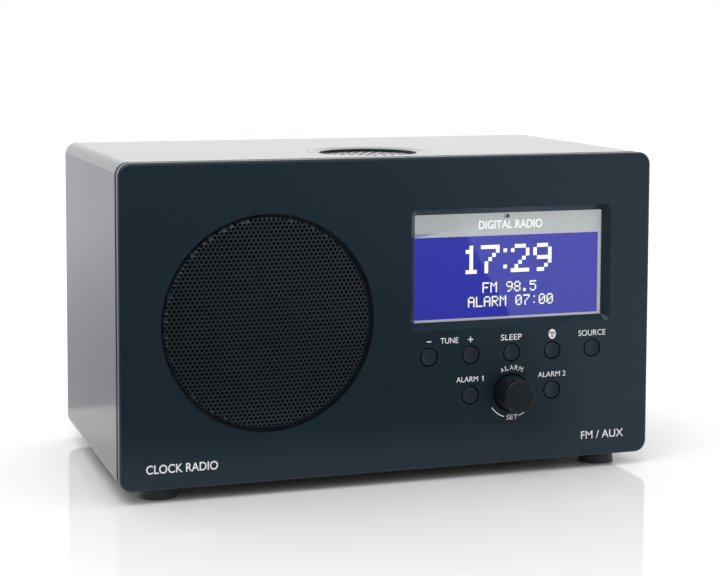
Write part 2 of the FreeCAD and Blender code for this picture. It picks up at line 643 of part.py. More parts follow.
def add_posts(body):
    """Posts for the control board and, in the corners, for the screws that hold the panel."""
    pad(body, circles(body, FRONT, "plate", board_posts(), "board_post_radius"), "board_depth - plate")
    pilot = circles(body, FRONT, PILOT_START, board_posts(), "small_screw + thread_fit")
    pocket(body, pilot, f"board_depth - {PILOT_START}")
    corners = four(CORNER_ACROSS, CORNER_LOW, CORNER_HIGH)
    pad(body, circles(body, FRONT, "plate", corners, "corner_post_radius"), f"{POST_END} - plate")
    pilot = circles(body, FRONT, PILOT_START, corners, "big_screw + thread_fit")
    pocket(body, pilot, f"{POST_END} - {PILOT_START}")


def socket_places():
    return [("power", "-1.5 * socket_pitch"), ("aerial", "-0.5 * socket_pitch"),
            ("aux", "0.5 * socket_pitch"), ("headphone", "1.5 * socket_pitch")]


def make_back_panel():
    body = new_body("back_panel")
    plate = new_sketch(body, FRONT, BACK_INNER)
    draw_box(plate, "0", "case_height / 2", PLUG_WIDTH, PLUG_HEIGHT, "inner_radius")
    pad(body, plate, "back_plate")
    posts = four(MAIN_POST_ACROSS, MAIN_POST_LOW, MAIN_POST_HIGH)
    pad(body, circles(body, FRONT, MAIN_BACK, posts, "main_post_radius"), "main_gap")
    pocket(body, circles(body, FRONT, MAIN_BACK, posts, "small_screw + thread_fit"),
           "main_gap - pilot_floor")
    corners = four(CORNER_ACROSS, CORNER_LOW, CORNER_HIGH)
    pocket(body, circles(body, FRONT, BACK_INNER, corners, "big_screw + hole_fit"), "back_plate")
    sinks = circles(body, FRONT, f"({BACK_FACE} - big_head_height)", corners, "big_head + hole_fit")
    pocket(body, sinks, "big_head_height")
    holes = new_sketch(body, FRONT, BACK_INNER)
    for kind, across in socket_places():
        nose = "aerial_nose" if kind == "aerial" else "jack_nose"
        draw_circle(holes, across, "socket_up", f"{nose} + nose_fit")
    pocket(body, holes, "back_plate")


def make_case_screws():
    corners = four(CORNER_ACROSS, CORNER_LOW, CORNER_HIGH)
    front_seat = f"({POST_END} + block)"
    screws("front_panel_screws", FRONT, corners, front_seat,
           f"{front_seat} - {PILOT_START} - screw_spare", "big")
    back_seat = f"({BACK_FACE} - big_head_height)"
    screws("back_panel_screws", FRONT, corners, back_seat,
           "back_plate - big_head_height + block - pilot_floor - screw_spare", "big")


def make_feet():
    places = four(FOOT_ACROSS, "foot_end_inset", "(case_depth - foot_end_inset)")
    body = new_body("feet", pieces=4)
    low = circles(body, LEVEL, "-foot_height", places, "foot_radius")
    bottoms = pad(body, low, "foot_height")
    bottoms.TaperAngle = 0
    tie(bottoms, "TaperAngle", "-atan((foot_radius - foot_top_radius) / foot_height)")
    pocket(body, circles(body, LEVEL, "-foot_floor", places, "big_head + hole_fit"), "foot_height")
    pocket(body, circles(body, LEVEL, "0", places, "big_screw + hole_fit"), "foot_height")
    screws("foot_screws", LEVEL, places, "-foot_floor", "foot_floor + wall - pilot_floor - screw_spare",
           "big", downward=True)


# Loudspeaker

def speaker_piece(name):
    body = new_body(name, "speaker_across", "0", "speaker_up")
    lay_back(body)
    return body


def make_grille():
    flat = f"({GRILLE_RADIUS} - grille_bend)"
    edge = "(grille_front + grille_rise)"
    outer_middle = "grille_bend * (1 - sqrt(0.5))"
    inner_bend = "(grille_bend - grille_skin)"
    inner_middle = f"{inner_bend} * (1 - sqrt(0.5))"
    inner_wall = f"({GRILLE_RADIUS} - grille_skin)"
    turn(speaker_piece("speaker_grille"), [
        ("0", "grille_front"),
        ("dome_flat", "grille_front", f"{flat} / 2", "grille_front + grille_rise / 4"),
        (flat, edge, f"{GRILLE_RADIUS} - {outer_middle}", f"{edge} + {outer_middle}"),
        (GRILLE_RADIUS, LIP_FRONT),
        (LIP_RADIUS, LIP_FRONT),
        (LIP_RADIUS, f"{LIP_FRONT} + grille_skin"),
        (inner_wall, f"{LIP_FRONT} + grille_skin"),
        (inner_wall, f"{edge} + grille_skin + {inner_bend}",
         f"{inner_wall} - {inner_middle}", f"{edge} + grille_skin + {inner_middle}"),
        (flat, f"{edge} + grille_skin", f"{flat} / 2", "grille_front + grille_rise / 4 + grille_skin"),
        ("dome_flat", "grille_front + grille_skin"),
        ("0", "grille_front + grille_skin"),
    ])


def make_gasket():
    inner = f"({GRILLE_RADIUS} - grille_skin)"
    lip_back = f"({LIP_FRONT} + grille_skin)"
    turn(speaker_piece("speaker_gasket"), [
        (inner, lip_back), (LIP_RADIUS, lip_back), (LIP_RADIUS, SEAT_FACE), (inner, SEAT_FACE),
    ])


def make_basket():
    body = speaker_piece("speaker_basket")
    flange_back = f"({SEAT_FACE} + basket_sheet)"
    turn(body, [
        ("basket_mouth", SEAT_FACE),
        (SEAT_RADIUS, SEAT_FACE),
        (SEAT_RADIUS, flange_back),
        ("basket_mouth + basket_sheet", flange_back),
        ("basket_back_radius + basket_sheet", BASKET_BACK),
        ("basket_back_bore", BASKET_BACK),
        ("basket_back_bore", SPIDER_SEAT),
        ("basket_back_radius", SPIDER_SEAT),
        ("basket_mouth", flange_back),
    ])
    places = [("lug_circle", "lug_circle")]
    lug = pad(body, circles(body, LEVEL, SEAT_FACE, places, "lug_radius"), "basket_sheet")
    repeat_round(body, lug, 4)
    hole_start = f"({SEAT_FACE} + basket_sheet)"
    hole = pocket(body, circles(body, LEVEL, hole_start, places, "small_screw + hole_fit"), "basket_sheet")
    repeat_round(body, hole, 4)
    window = new_sketch(body, FRONT)
    low, high = f"({SEAT_FACE} + 3 * basket_sheet)", f"({SPIDER_SEAT} - 2 * basket_sheet)"
    wide, narrow = "basket_window * basket_mouth", "basket_window * basket_back_radius"
    draw_outline(window, [(f"-{wide}", low), (wide, low), (narrow, high), (f"-{narrow}", high)])
    repeat_round(body, pocket(body, window, SEAT_RADIUS), 4)


def make_magnet_system():
    turn(speaker_piece("speaker_front_plate"), [
        (GAP_RADIUS, BASKET_BACK), ("basket_back_radius", BASKET_BACK),
        ("basket_back_radius", MAGNET_FRONT), (GAP_RADIUS, MAGNET_FRONT),
    ])
    turn(speaker_piece("speaker_magnet"), [
        ("magnet_bore", MAGNET_FRONT), ("magnet_radius - magnet_chamfer", MAGNET_FRONT),
        ("magnet_radius", f"{MAGNET_FRONT} + magnet_chamfer"),
        ("magnet_radius", f"{MAGNET_BACK} - magnet_chamfer"),
        ("magnet_radius - magnet_chamfer", MAGNET_BACK), ("magnet_bore", MAGNET_BACK),
    ])
    turn(speaker_piece("speaker_yoke"), [
        ("vent_radius", BASKET_BACK), (POLE_RADIUS, BASKET_BACK), (POLE_RADIUS, MAGNET_BACK),
        ("basket_back_radius", MAGNET_BACK), ("basket_back_radius", f"{MAGNET_BACK} + iron"),
        ("vent_radius", f"{MAGNET_BACK} + iron"),
    ])


def cone_at(radius):
    """Depth of the cone's front surface at a distance from the axis."""
    return f"({CONE_FRONT} + ({CONE_EDGE} - {radius}) * {CONE_SLOPE})"


def make_moving_speaker():
    turn(speaker_piece("speaker_cone"), [
        ("cone_radius", CONE_FRONT), (CONE_EDGE, CONE_FRONT), ("former_radius", NECK),
        ("former_radius", f"{NECK} + cone_paper"), (CONE_EDGE, f"{CONE_FRONT} + cone_paper"),
        ("cone_radius", f"{CONE_FRONT} + cone_paper"),
    ])
    inner = "(cap_radius - cap_sheet)"
    rest = cone_at("cap_radius")
    turn(speaker_piece("dust_cap"), [
        ("0", f"{rest} - cap_rise"),
        ("dome_flat", f"{rest} - cap_rise", "cap_radius / 2", f"{rest} - cap_rise * 3 / 4"),
        ("cap_radius", rest),
        (inner, cone_at(inner), f"{inner} / 2", f"{rest} - cap_rise * 3 / 4 + cap_sheet"),
        ("dome_flat", f"{rest} - cap_rise + cap_sheet"),
        ("0", f"{rest} - cap_rise + cap_sheet"),
    ])
    inside = "(former_radius - former_wall)"
    turn(speaker_piece("voice_coil"), [
        (inside, COIL_START), ("former_radius", COIL_START),
        ("former_radius", f"{COIL_END} - winding_length"),
        ("former_radius + winding", f"{COIL_END} - winding_length"),
        ("former_radius + winding", COIL_END), (inside, COIL_END),
    ])


def make_suspension():
    land = f"({CONE_FRONT} - rubber_sheet)"
    outer = "(basket_mouth + surround_land)"
    crest = f"({land} - surround_roll)"
    middle = "((cone_radius + basket_mouth) / 2)"
    turn(speaker_piece("speaker_surround"), [
        (CONE_EDGE, CONE_FRONT), (CONE_EDGE, land),
        ("cone_radius", land, middle, crest),
        ("basket_mouth", land), (outer, land), (outer, CONE_FRONT),
        ("basket_mouth", CONE_FRONT, middle, f"{crest} + rubber_sheet"),
        ("cone_radius", CONE_FRONT),
    ])
    span = "(basket_back_radius - former_radius)"
    flat = f"({SPIDER_SEAT} - spider_cloth)"
    upper = [(f"former_radius + {share} * {span}", f"{flat} - {rise} * spider_wave")
             for share, rise in SPIDER]
    lower = [(across, f"{up} + spider_cloth") for across, up in reversed(upper)]
    turn(speaker_piece("speaker_spider"), upper + lower)


def make_speaker_screws():
    seat = f"({SEAT_FACE} + basket_sheet)"
    screws("speaker_screws", FRONT, speaker_lugs(), seat, f"{seat} - plate / 2 - screw_spare", "small")


# Display

def slab(name, across, up, width, height, start, thickness, radius=None):
    body = new_body(name)
    sketch = new_sketch(body, FRONT, start)
    draw_box(sketch, across, up, width, height, radius)
    pad(body, sketch, thickness)
    return body


def make_display():
    middle = ("display_across", "display_up")
    slab("display_lens", *middle, LENS_WIDTH, LENS_HEIGHT, LENS_FRONT, "lens")
    mask = slab("display_mask", *middle, LENS_WIDTH, LENS_HEIGHT, MASK_FRONT, "mask")
    window = new_sketch(mask, FRONT, MASK_FRONT)
    draw_box(window, "window_across", "window_up", "window_width", "window_height")
    draw_circle(window, "display_across", "sensor_up", "sensor_hole")
    pocket(mask, window, "mask")
    cell = ("window_across", "window_up", CELL_WIDTH, CELL_HEIGHT)
    slab("lcd_panel", *cell, CELL_FRONT, "cell_thickness")
    slab("backlight", *cell, LIGHT_FRONT, "backlight_thickness")
    holder = slab("display_holder", *cell, HOLDER_FRONT, f"board_depth - {HOLDER_FRONT}")
    inside = new_sketch(holder, FRONT, HOLDER_FRONT)
    draw_box(inside, "window_across", "window_up", f"{CELL_WIDTH} - 2 * holder_wall",
             f"{CELL_HEIGHT} - 2 * holder_wall")
    pocket(holder, inside, f"board_depth - {HOLDER_FRONT}")
    sensor = new_body("light_sensor")
    place = [("display_across", "sensor_up")]
    pad(sensor, circles(sensor, FRONT, CELL_FRONT, place, "sensor_radius"), f"board_depth - {CELL_FRONT}")


# Controls

def make_control_board():
    board_middle = ("(board_left + board_right) / 2", "(board_low + board_top) / 2")
    size = ("board_right - board_left", "board_top - board_low")
    body = slab("control_board", *board_middle, *size, "board_depth", "board", "inner_radius")
    holes = circles(body, FRONT, "board_depth", board_posts(), "small_screw + hole_fit")
    pocket(body, holes, "board")
    screws("control_board_screws", FRONT, board_posts(), BOARD_BACK,
           f"{BOARD_BACK} - {PILOT_START} - screw_spare", "small")


def make_button(name, column, up):
    """A cap with the lip that keeps it in, its stem, and the plunger that it presses."""
    across = f"button_across + {column} * button_pitch"
    cap = new_body(name, across, "0", up)
    lay_back(cap)
    lip = "(button_radius + button_lip)"
    lip_back = f"({LIP_START} + lip_thickness)"
    turn(cap, [
        ("0", "button_front + button_dish", "button_radius / 2", "button_front + button_dish * 3 / 4"),
        ("button_radius - button_edge", "button_front",
         "button_radius - button_edge * (1 - sqrt(0.5))", "button_front + button_edge * (1 - sqrt(0.5))"),
        ("button_radius", "button_front + button_edge"),
        ("button_radius", LIP_START), (lip, LIP_START), (lip, lip_back),
        ("stem_radius", lip_back), ("stem_radius", PLUNGER_FRONT), ("0", PLUNGER_FRONT),
    ])
    plunger = new_body(name.replace("button", "plunger"), across, "0", up)
    lay_back(plunger)
    end = f"({PLUNGER_FRONT} + plunger_length)"
    turn(plunger, [
        ("0", PLUNGER_FRONT), ("plunger_radius", PLUNGER_FRONT), ("plunger_radius", end), ("0", end),
    ])


def make_switches():
    body = new_body("button_switches", pieces=len(BUTTONS))
    cases = new_sketch(body, FRONT, SWITCH_FRONT)
    bores = new_sketch(body, FRONT, SWITCH_FRONT)
    for _, column, up in BUTTONS:
        across = f"button_across + {column} * button_pitch"
        draw_box(cases, across, up, "switch_side", "switch_side")
        draw_circle(bores, across, up, "plunger_radius + plunger_gap")
    pad(body, cases, "switch_height")
    pocket(body, bores, "plunger_length - plunger_proud + press_travel + press_spare")


def make_knob():
    knob = new_body("tuning_knob", "button_across", "0", "alarm_up")
    lay_back(knob)
    front = "-knob_reach"
    turn(knob, [
        ("0", front), ("knob_front_radius - knob_rounding", front,
                       "knob_front_radius - knob_rounding * (1 - sqrt(0.5))",
                       f"{front} + knob_rounding * (1 - sqrt(0.5))"),
        ("knob_front_radius", f"{front} + knob_rounding"), ("knob_radius", "0"),
        ("knob_radius", "knob_sink"), ("shaft_radius", "knob_sink"),
        ("shaft_radius", f"{front} + knob_face"), ("0", f"{front} + knob_face"),
    ])
    shaft = new_body("encoder_shaft", "button_across", "0", "alarm_up")
    lay_back(shaft)
    turn(shaft, [
        ("0", f"{front} + knob_face"), ("shaft_radius", f"{front} + knob_face"),
        ("shaft_radius", PUSH_REST), ("0", PUSH_REST),
    ])
    plunger = new_body("encoder_plunger", "button_across", "0", "alarm_up")
    lay_back(plunger)
    end = f"({PUSH_REST} + push_plunger)"
    turn(plunger, [
        ("0", PUSH_REST), ("push_plunger_radius", PUSH_REST), ("push_plunger_radius", end), ("0", end),
    ])


def make_encoder():
    body = slab("encoder_body", "button_across", "alarm_up", "encoder_side", "encoder_side",
                ENCODER_FRONT, "encoder_height")
    axis = [("button_across", "alarm_up")]
    bushing = circles(body, FRONT, f"({ENCODER_FRONT} - bushing_length)", axis,
                      "shaft_radius + shaft_fit + bushing_wall")
    pad(body, bushing, "bushing_length")
    bore = circles(body, FRONT, f"({ENCODER_FRONT} - bushing_length)", axis, "shaft_radius + shaft_fit")
    pocket(body, bore, f"{PUSH_REST} - {ENCODER_FRONT} + bushing_length")
    roof = f"({ENCODER_FRONT} + encoder_roof)"
    chamber = circles(body, FRONT, roof, axis, "push_plunger_radius + plunger_gap")
    pocket(body, chamber, f"{PUSH_FLOOR} - {roof}")


# Top dish

def make_top():
    ring = new_body("top_ring", "0", "dish_back", "case_height")
    ledge = "-(well_depth + disc)"
    tail = f"{ledge} - well_tail"
    turn(ring, [
        ("dish_radius", "0"), ("dish_radius", "-dish_flange"), ("dish_sleeve_radius", "-dish_flange"),
        ("dish_sleeve_radius", tail), ("dish_opening - well_ledge", tail),
        ("dish_opening - well_ledge", ledge), ("dish_opening", ledge), ("dish_opening", "-dish_slope"),
        ("dish_radius - dish_rim", "0"),
    ])
    disc = new_body("top_grille", "0", "dish_back", "case_height")
    pad(disc, circles(disc, LEVEL, ledge, [("0", "0")], "dish_opening - disc_fit"), "disc")
    pocket(disc, circles(disc, LEVEL, "-well_depth", [("0", "0")], "disc_hole"), "disc")
    for ring_number in range(1, 6):
        start = circles(disc, LEVEL, "-well_depth", [(f"{ring_number} * disc_pitch", "0")], "disc_hole")
        repeat_round(disc, pocket(disc, start, "disc"), 6 * ring_number)
    contact = new_body("top_contact", "0", "dish_back", "case_height")
    pad(contact, circles(contact, LEVEL, f"{ledge} - contact_length", [("0", "0")], "contact_radius"),
        "contact_length")


# Electronics

def make_main_board():
    size = ("main_width", "main_height")
    body = slab("main_board", "0", "main_up", *size, MAIN_FRONT, "board", "inner_radius")
    posts = four(MAIN_POST_ACROSS, MAIN_POST_LOW, MAIN_POST_HIGH)
    pocket(body, circles(body, FRONT, MAIN_FRONT, posts, "small_screw + hole_fit"), "board")
    fasteners = new_body("main_board_screws", pieces=4)
    start = f"({MAIN_FRONT} - small_head_height)"
    pad(fasteners, circles(fasteners, FRONT, start, posts, "small_head"), "small_head_height")
    pad(fasteners, circles(fasteners, FRONT, MAIN_FRONT, posts, "small_screw"),
        "board + main_gap - pilot_floor - screw_spare")
    cut_crosses(fasteners, FRONT, start, posts, "small_head")
    capacitors = new_body("capacitors", pieces=2)
    places = [("capacitor_across", "capacitor_up"), ("capacitor_across + capacitor_spacing", "capacitor_up")]
    cans = circles(capacitors, FRONT, f"({MAIN_FRONT} - capacitor_length)", places, "capacitor_radius")
    pad(capacitors, cans, "capacitor_length")
    slab("wireless_module", "module_across", "module_up", "module_width", "module_height",
         f"({MAIN_FRONT} - module_thickness)", "module_thickness")


def make_socket(name, across, nose, proud, bore, depth):
    body = slab(name, across, "socket_up", "jack_side", "jack_side", MAIN_BACK, "main_gap")
    place = [(across, "socket_up")]
    end = f"({BACK_FACE} + {proud})"
    pad(body, circles(body, FRONT, BACK_INNER, place, nose), f"back_plate + {proud}")
    pocket(body, circles(body, FRONT, f"({end} - {depth})", place, bore), depth)
    return body


def make_sockets():
    place = dict(socket_places())
    inlet = make_socket("power_inlet", place["power"], "jack_nose", "0", "power_bore", "power_depth")
    pin = circles(inlet, FRONT, f"({BACK_FACE} - power_depth)", [(place["power"], "socket_up")], "power_pin")
    pad(inlet, pin, "power_depth - power_pin_sink")
    make_socket("aerial_socket", place["aerial"], "aerial_nose", "aerial_proud", "aerial_bore",
                "aerial_depth")
    make_socket("aux_socket", place["aux"], "jack_nose", "0", "jack_bore", "jack_depth")
    make_socket("headphone_socket", place["headphone"], "jack_nose", "0", "jack_bore", "jack_depth")


def make_cable():
    """The flat cable between the two boards, and the connector at each of its ends."""
    connectors = new_body("cable_connectors", pieces=2)
    for start in (BOARD_BACK, f"({MAIN_FRONT} - plug_length)"):
        sketch = new_sketch(connectors, FRONT, start)
        draw_box(sketch, "cable_across", "cable_up", "plug_width", "plug_height")
        pad(connectors, sketch, "plug_length")
    body = new_body("display_cable", "cable_across", "0", "cable_up")
    start, end = f"({BOARD_BACK} + plug_length)", f"({MAIN_FRONT} - plug_length)"
    halfway = f"({start} + {end}) / 2"
    half = "cable_thickness / 2"
    band = new_sketch(body, SIDE, "-cable_width / 2")
    draw_outline(band, [
        (start, f"-{half}", halfway, f"-cable_sag - {half}"),
        (end, f"-{half}"),
        (end, half, halfway, f"-cable_sag + {half}"),
        (start, half),
    ])
    pad(body, band, "cable_width")


def check_all():
    failed = [thing.Label for thing in document.Objects if {"Invalid", "Error"} & set(thing.State)]
    if failed:
        raise RuntimeError(f"failed features: {failed}")
    for body, pieces in parts:
        shape = body.Shape
        if shape.isNull() or not shape.isValid():
            raise RuntimeError(f"{body.Label}: the shape is not valid")
        if len(shape.Solids) != pieces:
            raise RuntimeError(f"{body.Label}: {len(shape.Solids)} solids instead of {pieces}")


def write_parts():
    os.makedirs("parts", exist_ok=True)
    for body, _ in parts:
        body.Shape.exportStep(f"parts/{body.Label}.step")


sheet = make_sheet()
make_cabinet()
make_front_panel()
make_back_panel()
make_case_screws()
make_feet()
make_grille()
make_gasket()
make_basket()
make_magnet_system()
make_moving_speaker()
make_suspension()
make_speaker_screws()
make_display()
make_control_board()
for button in BUTTONS:
    make_button(*button)
make_switches()
make_knob()
make_encoder()
make_top()
make_main_board()
make_sockets()
make_cable()
document.recompute()
check_all()
write_parts()
print(len(parts), "parts written")
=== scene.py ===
"""How the tabletop radio looks: lettering, lit display, perforated grille and every finish.

Every piece is in metres, in the frame of the CAD model, and takes its place from the CAD nodes.
"""

import json
import math

import bmesh
import bpy
from mathutils import Euler, Matrix, Vector


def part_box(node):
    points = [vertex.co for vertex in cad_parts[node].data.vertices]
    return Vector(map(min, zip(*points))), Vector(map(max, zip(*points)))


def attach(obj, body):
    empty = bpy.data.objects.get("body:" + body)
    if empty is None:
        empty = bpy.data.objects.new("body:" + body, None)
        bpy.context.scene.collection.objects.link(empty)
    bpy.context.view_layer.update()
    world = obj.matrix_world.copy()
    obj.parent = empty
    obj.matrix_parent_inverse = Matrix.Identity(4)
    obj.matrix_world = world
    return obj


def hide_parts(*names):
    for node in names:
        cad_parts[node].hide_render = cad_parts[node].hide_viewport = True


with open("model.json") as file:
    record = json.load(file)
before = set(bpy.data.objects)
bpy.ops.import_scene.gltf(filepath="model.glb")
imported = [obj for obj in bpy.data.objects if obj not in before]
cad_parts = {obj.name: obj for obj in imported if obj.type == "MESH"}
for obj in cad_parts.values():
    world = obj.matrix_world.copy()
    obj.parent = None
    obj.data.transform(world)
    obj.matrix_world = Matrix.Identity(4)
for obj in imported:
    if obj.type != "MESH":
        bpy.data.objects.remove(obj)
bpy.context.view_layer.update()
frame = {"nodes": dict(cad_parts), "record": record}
nodes = frame["nodes"]

MM = 0.001
FACING = (math.pi / 2, 0, 0)  # turns a flat piece to face the front
AWAY = (math.pi / 2, 0, math.pi)  # turns a flat piece to face the back
FRONT_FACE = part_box("sleep_button")[0].y  # the front panel's face
BACK_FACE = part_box("back_panel")[1].y
INK = 0.03 * MM  # how far printed ink stands off its surface


# ---------------------------------------------------------------- working in edit mode


def alone(piece):
    """Only this piece is selected and active."""
    bpy.ops.object.select_all(action="DESELECT")
    piece.select_set(True)
    bpy.context.view_layer.objects.active = piece


def settled(piece, name):
    """The piece's place, turn and size go into its mesh."""
    alone(piece)
    bpy.ops.object.transform_apply(location=True, rotation=True, scale=True)
    piece.name = name
    piece.data.name = name
    return piece


def opened(piece):
    """Edit mode, by points, with everything selected."""
    alone(piece)
    bpy.ops.object.mode_set(mode="EDIT")
    bpy.ops.mesh.select_mode(type="VERT")
    bpy.ops.mesh.select_all(action="SELECT")


def thickened(depth):
    """In edit mode, gives a flat face a thickness away from the viewer, and closes the piece."""
    bpy.ops.mesh.extrude_region_move(TRANSFORM_OT_translate={"value": (0, depth, 0)})
    bpy.ops.mesh.select_all(action="SELECT")
    bpy.ops.mesh.normals_make_consistent(inside=False)
    bpy.ops.object.mode_set(mode="OBJECT")


def pick(piece, kind, test):
    """In edit mode, selects only the vertices, edges or faces that pass a test."""
    bpy.ops.mesh.select_mode(type=kind)
    bpy.ops.mesh.select_all(action="DESELECT")
    mesh = bmesh.from_edit_mesh(piece.data)
    for part in {"VERT": mesh.verts, "EDGE": mesh.edges, "FACE": mesh.faces}[kind]:
        if test(part):
            part.select_set(True)
    mesh.select_flush_mode()
    bmesh.update_edit_mesh(piece.data)


def middle(part):
    """The middle of an edge or a face."""
    return sum((v.co for v in part.verts), Vector()) / len(part.verts)


def applied(piece, kind, **settings):
    """Adds a modifier with its settings and applies it."""
    alone(piece)
    change = piece.modifiers.new(kind.lower(), kind)
    for name, value in settings.items():
        setattr(change, name, value)
    bpy.ops.object.modifier_apply(modifier=change.name)


def copied(piece, move=(0, 0, 0)):
    """A copy with its own mesh, moved."""
    twin = piece.copy()
    twin.data = piece.data.copy()
    bpy.context.scene.collection.objects.link(twin)
    twin.data.transform(Matrix.Translation(Vector(move)))
    return twin


def joined(pieces, name):
    """Several pieces become one."""
    bpy.ops.object.select_all(action="DESELECT")
    for piece in pieces:
        piece.select_set(True)
    bpy.context.view_layer.objects.active = pieces[0]
    if len(pieces) > 1:
        bpy.ops.object.join()
    return settled(pieces[0], name)


def dressed(piece, finish, body="root"):
    """Gives the piece one finish and lets it ride on a body."""
    piece.data.materials.clear()
    piece.data.materials.append(finish.material)
    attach(piece, body)
    return piece


# ---------------------------------------------------------------- camera, floor and light


def place_camera():
    """The camera stands in front on the left, a little above the radio's top."""
    lens = bpy.data.cameras.new("camera")
    lens.lens, lens.sensor_width = 88.49, 36.0
    lens.shift_x, lens.shift_y = -0.0002, -0.1713
    lens.clip_start, lens.clip_end = 0.02, 50.0
    camera = bpy.data.objects.new("camera", lens)
    bpy.context.scene.collection.objects.link(camera)
    yaw, dip, lean = (math.radians(a) for a in (18.59, 4.542, 0.208))
    ahead = Vector((math.sin(yaw) * math.cos(dip), math.cos(yaw) * math.cos(dip), -math.sin(dip)))
    across = ahead.cross(Vector((0, 0, 1))).normalized()
    up = across.cross(ahead)
    right = across * math.cos(lean) + up * math.sin(lean)
    top = up * math.cos(lean) - across * math.sin(lean)
    turned = Matrix((right, top, -ahead)).transposed().to_4x4()
    camera.matrix_world = Matrix.Translation(Vector((-197.87, -596.37, 153.98)) * MM) @ turned
    bpy.context.scene.camera = camera


def soft_box(name, place, aim, wide, high, power):
    """A soft light that looks at a point."""
    lamp = bpy.data.lights.new(name, "AREA")
    lamp.shape, lamp.size, lamp.size_y, lamp.energy = "RECTANGLE", wide, high, power
    stand = bpy.data.objects.new(name, lamp)
    bpy.context.scene.collection.objects.link(stand)
    stand.location = place
    stand.rotation_mode = "QUATERNION"
    stand.rotation_quaternion = (Vector(place) - Vector(aim)).to_track_quat("Z", "Y")
    return stand


place_camera()


# ---------------------------------------------------------------- shader helpers


class Wire:
    """One output of a finish. Arithmetic on it adds the Math nodes."""

    def __init__(self, finish, socket):
        self.finish, self.socket = finish, socket

    def maths(self, operation, *values, clamp=False):
        sockets = dict(enumerate(values))
        return self.finish.node("Math", {"operation": operation, "use_clamp": clamp}, sockets)

    def __add__(self, other):
        return self.maths("ADD", self, other)

    def __sub__(self, other):
        return self.maths("SUBTRACT", self, other)

    def __mul__(self, other):
        return self.maths("MULTIPLY", self, other)

    def __truediv__(self, other):
        return self.maths("DIVIDE", self, other)

    def __radd__(self, other):
        return self.maths("ADD", other, self)

    def __rsub__(self, other):
        return self.maths("SUBTRACT", other, self)

    def __rmul__(self, other):
        return self.maths("MULTIPLY", other, self)

    def above(self, edge):
        return self.maths("GREATER_THAN", self, edge)

    def clipped(self):
        return self.maths("ADD", self, 0.0, clamp=True)


class Shading:
    """A node tree, and a short way to add nodes to it."""

    def __init__(self, tree):
        self.tree = tree

    def node(self, kind, settings=(), sockets=(), out=0):
        """Adds a node: its settings first, then the values or links of its sockets."""
        made = self.tree.nodes.new("ShaderNode" + kind)
        for name, value in dict(settings).items():
            setattr(made, name, value)
        for name, value in dict(sockets).items():
            if isinstance(value, Wire):
                self.tree.links.new(value.socket, made.inputs[name])
            else:
                made.inputs[name].default_value = value
        return Wire(self, made.outputs[out])

    def ramp(self, value, start, end, low=0.0, high=1.0):
        """Goes smoothly from low to high while the value goes from start to end."""
        sockets = {"Value": value, "From Min": start, "From Max": end, "To Min": low, "To Max": high}
        return self.node("MapRange", {"interpolation_type": "SMOOTHSTEP"}, sockets)

    def axes(self, vector):
        """The three parts of a vector."""
        split = self.node("SeparateXYZ", sockets={"Vector": vector}).socket.node
        return [Wire(self, socket) for socket in split.outputs]


class Finish(Shading):
    """A material and its nodes. Constants go straight on the shader's own sockets."""

    def __init__(self, name, **constants):
        self.material = bpy.data.materials.new(name)
        self.material.use_nodes = True
        super().__init__(self.material.node_tree)
        self.shader = self.tree.nodes["Principled BSDF"]
        for socket, value in constants.items():
            self.shader.inputs[socket.replace("_", " ")].default_value = value

    def place(self, scale=(1, 1, 1), move=(0, 0, 0), turn=(0, 0, 0)):
        spot = self.node("TexCoord", out="Object")
        sockets = {"Vector": spot, "Location": move, "Rotation": turn, "Scale": scale}
        return self.node("Mapping", sockets=sockets)

    def noise(self, size, detail=2.0, scale=(1, 1, 1), rough=0.5):
        """Noise whose blotches are about this size in metres."""
        sockets = {"Vector": self.place(scale), "Scale": 1 / size, "Detail": detail, "Roughness": rough}
        return self.node("TexNoise", sockets=sockets)

    def mixed(self, share, first, second):
        first, second = ((*c, 1) if isinstance(c, tuple) else c for c in (first, second))
        return self.node("Mix", {"data_type": "RGBA"}, {0: share, 6: first, 7: second}, out=2)

    def feed(self, socket, wire):
        self.tree.links.new(wire.socket, self.shader.inputs[socket])

    def shown(self, surface):
        """The material's surface is this shader instead of the plain one."""
        self.tree.links.new(surface.socket, self.tree.nodes["Material Output"].inputs["Surface"])

    def one_sided(self, surface):
        """A card's underside lets everything through."""
        under = self.node("NewGeometry", out="Backfacing")
        clear = self.node("BsdfTransparent", sockets={"Color": (1, 1, 1, 1)})
        self.shown(self.node("MixShader", sockets={0: under, 1: surface, 2: clear}))

    def bump(self, height, depth, strength=1.0):
        """Height from 0 to 1 becomes a surface this deep in metres."""
        sockets = {"Height": height, "Distance": depth, "Strength": strength}
        self.feed("Normal", self.node("Bump", sockets=sockets))


def light_studio():
    """A white room: the light is even from above and behind, and dimmer low down in front on the left."""
    world = bpy.data.worlds.new("studio")
    bpy.context.scene.world = world
    world.use_nodes = True
    tree = world.node_tree
    room = Shading(tree)
    across, away, up = room.axes(room.node("TexCoord", out="Generated"))
    behind = room.ramp(away, -0.35, 0.25)
    overhead = room.ramp(up, 0.1, 0.7)
    rightward = room.ramp(across, 0.1, 0.75)
    leftward = room.ramp(across, -0.45, -0.95)
    bright = behind.maths("MAXIMUM", behind, overhead)
    low = 0.13 + 0.5 * rightward + 0.2 * leftward
    level = low + (0.98 - low) * bright + 0.42 * behind * (1 - overhead)
    seen = room.node("LightPath", out="Is Camera Ray")
    level = level * (1 - seen) + seen
    back = tree.nodes["Background"]
    back.inputs["Color"].default_value = (1.0, 1.0, 1.0, 1)
    tree.links.new(level.socket, back.inputs["Strength"])


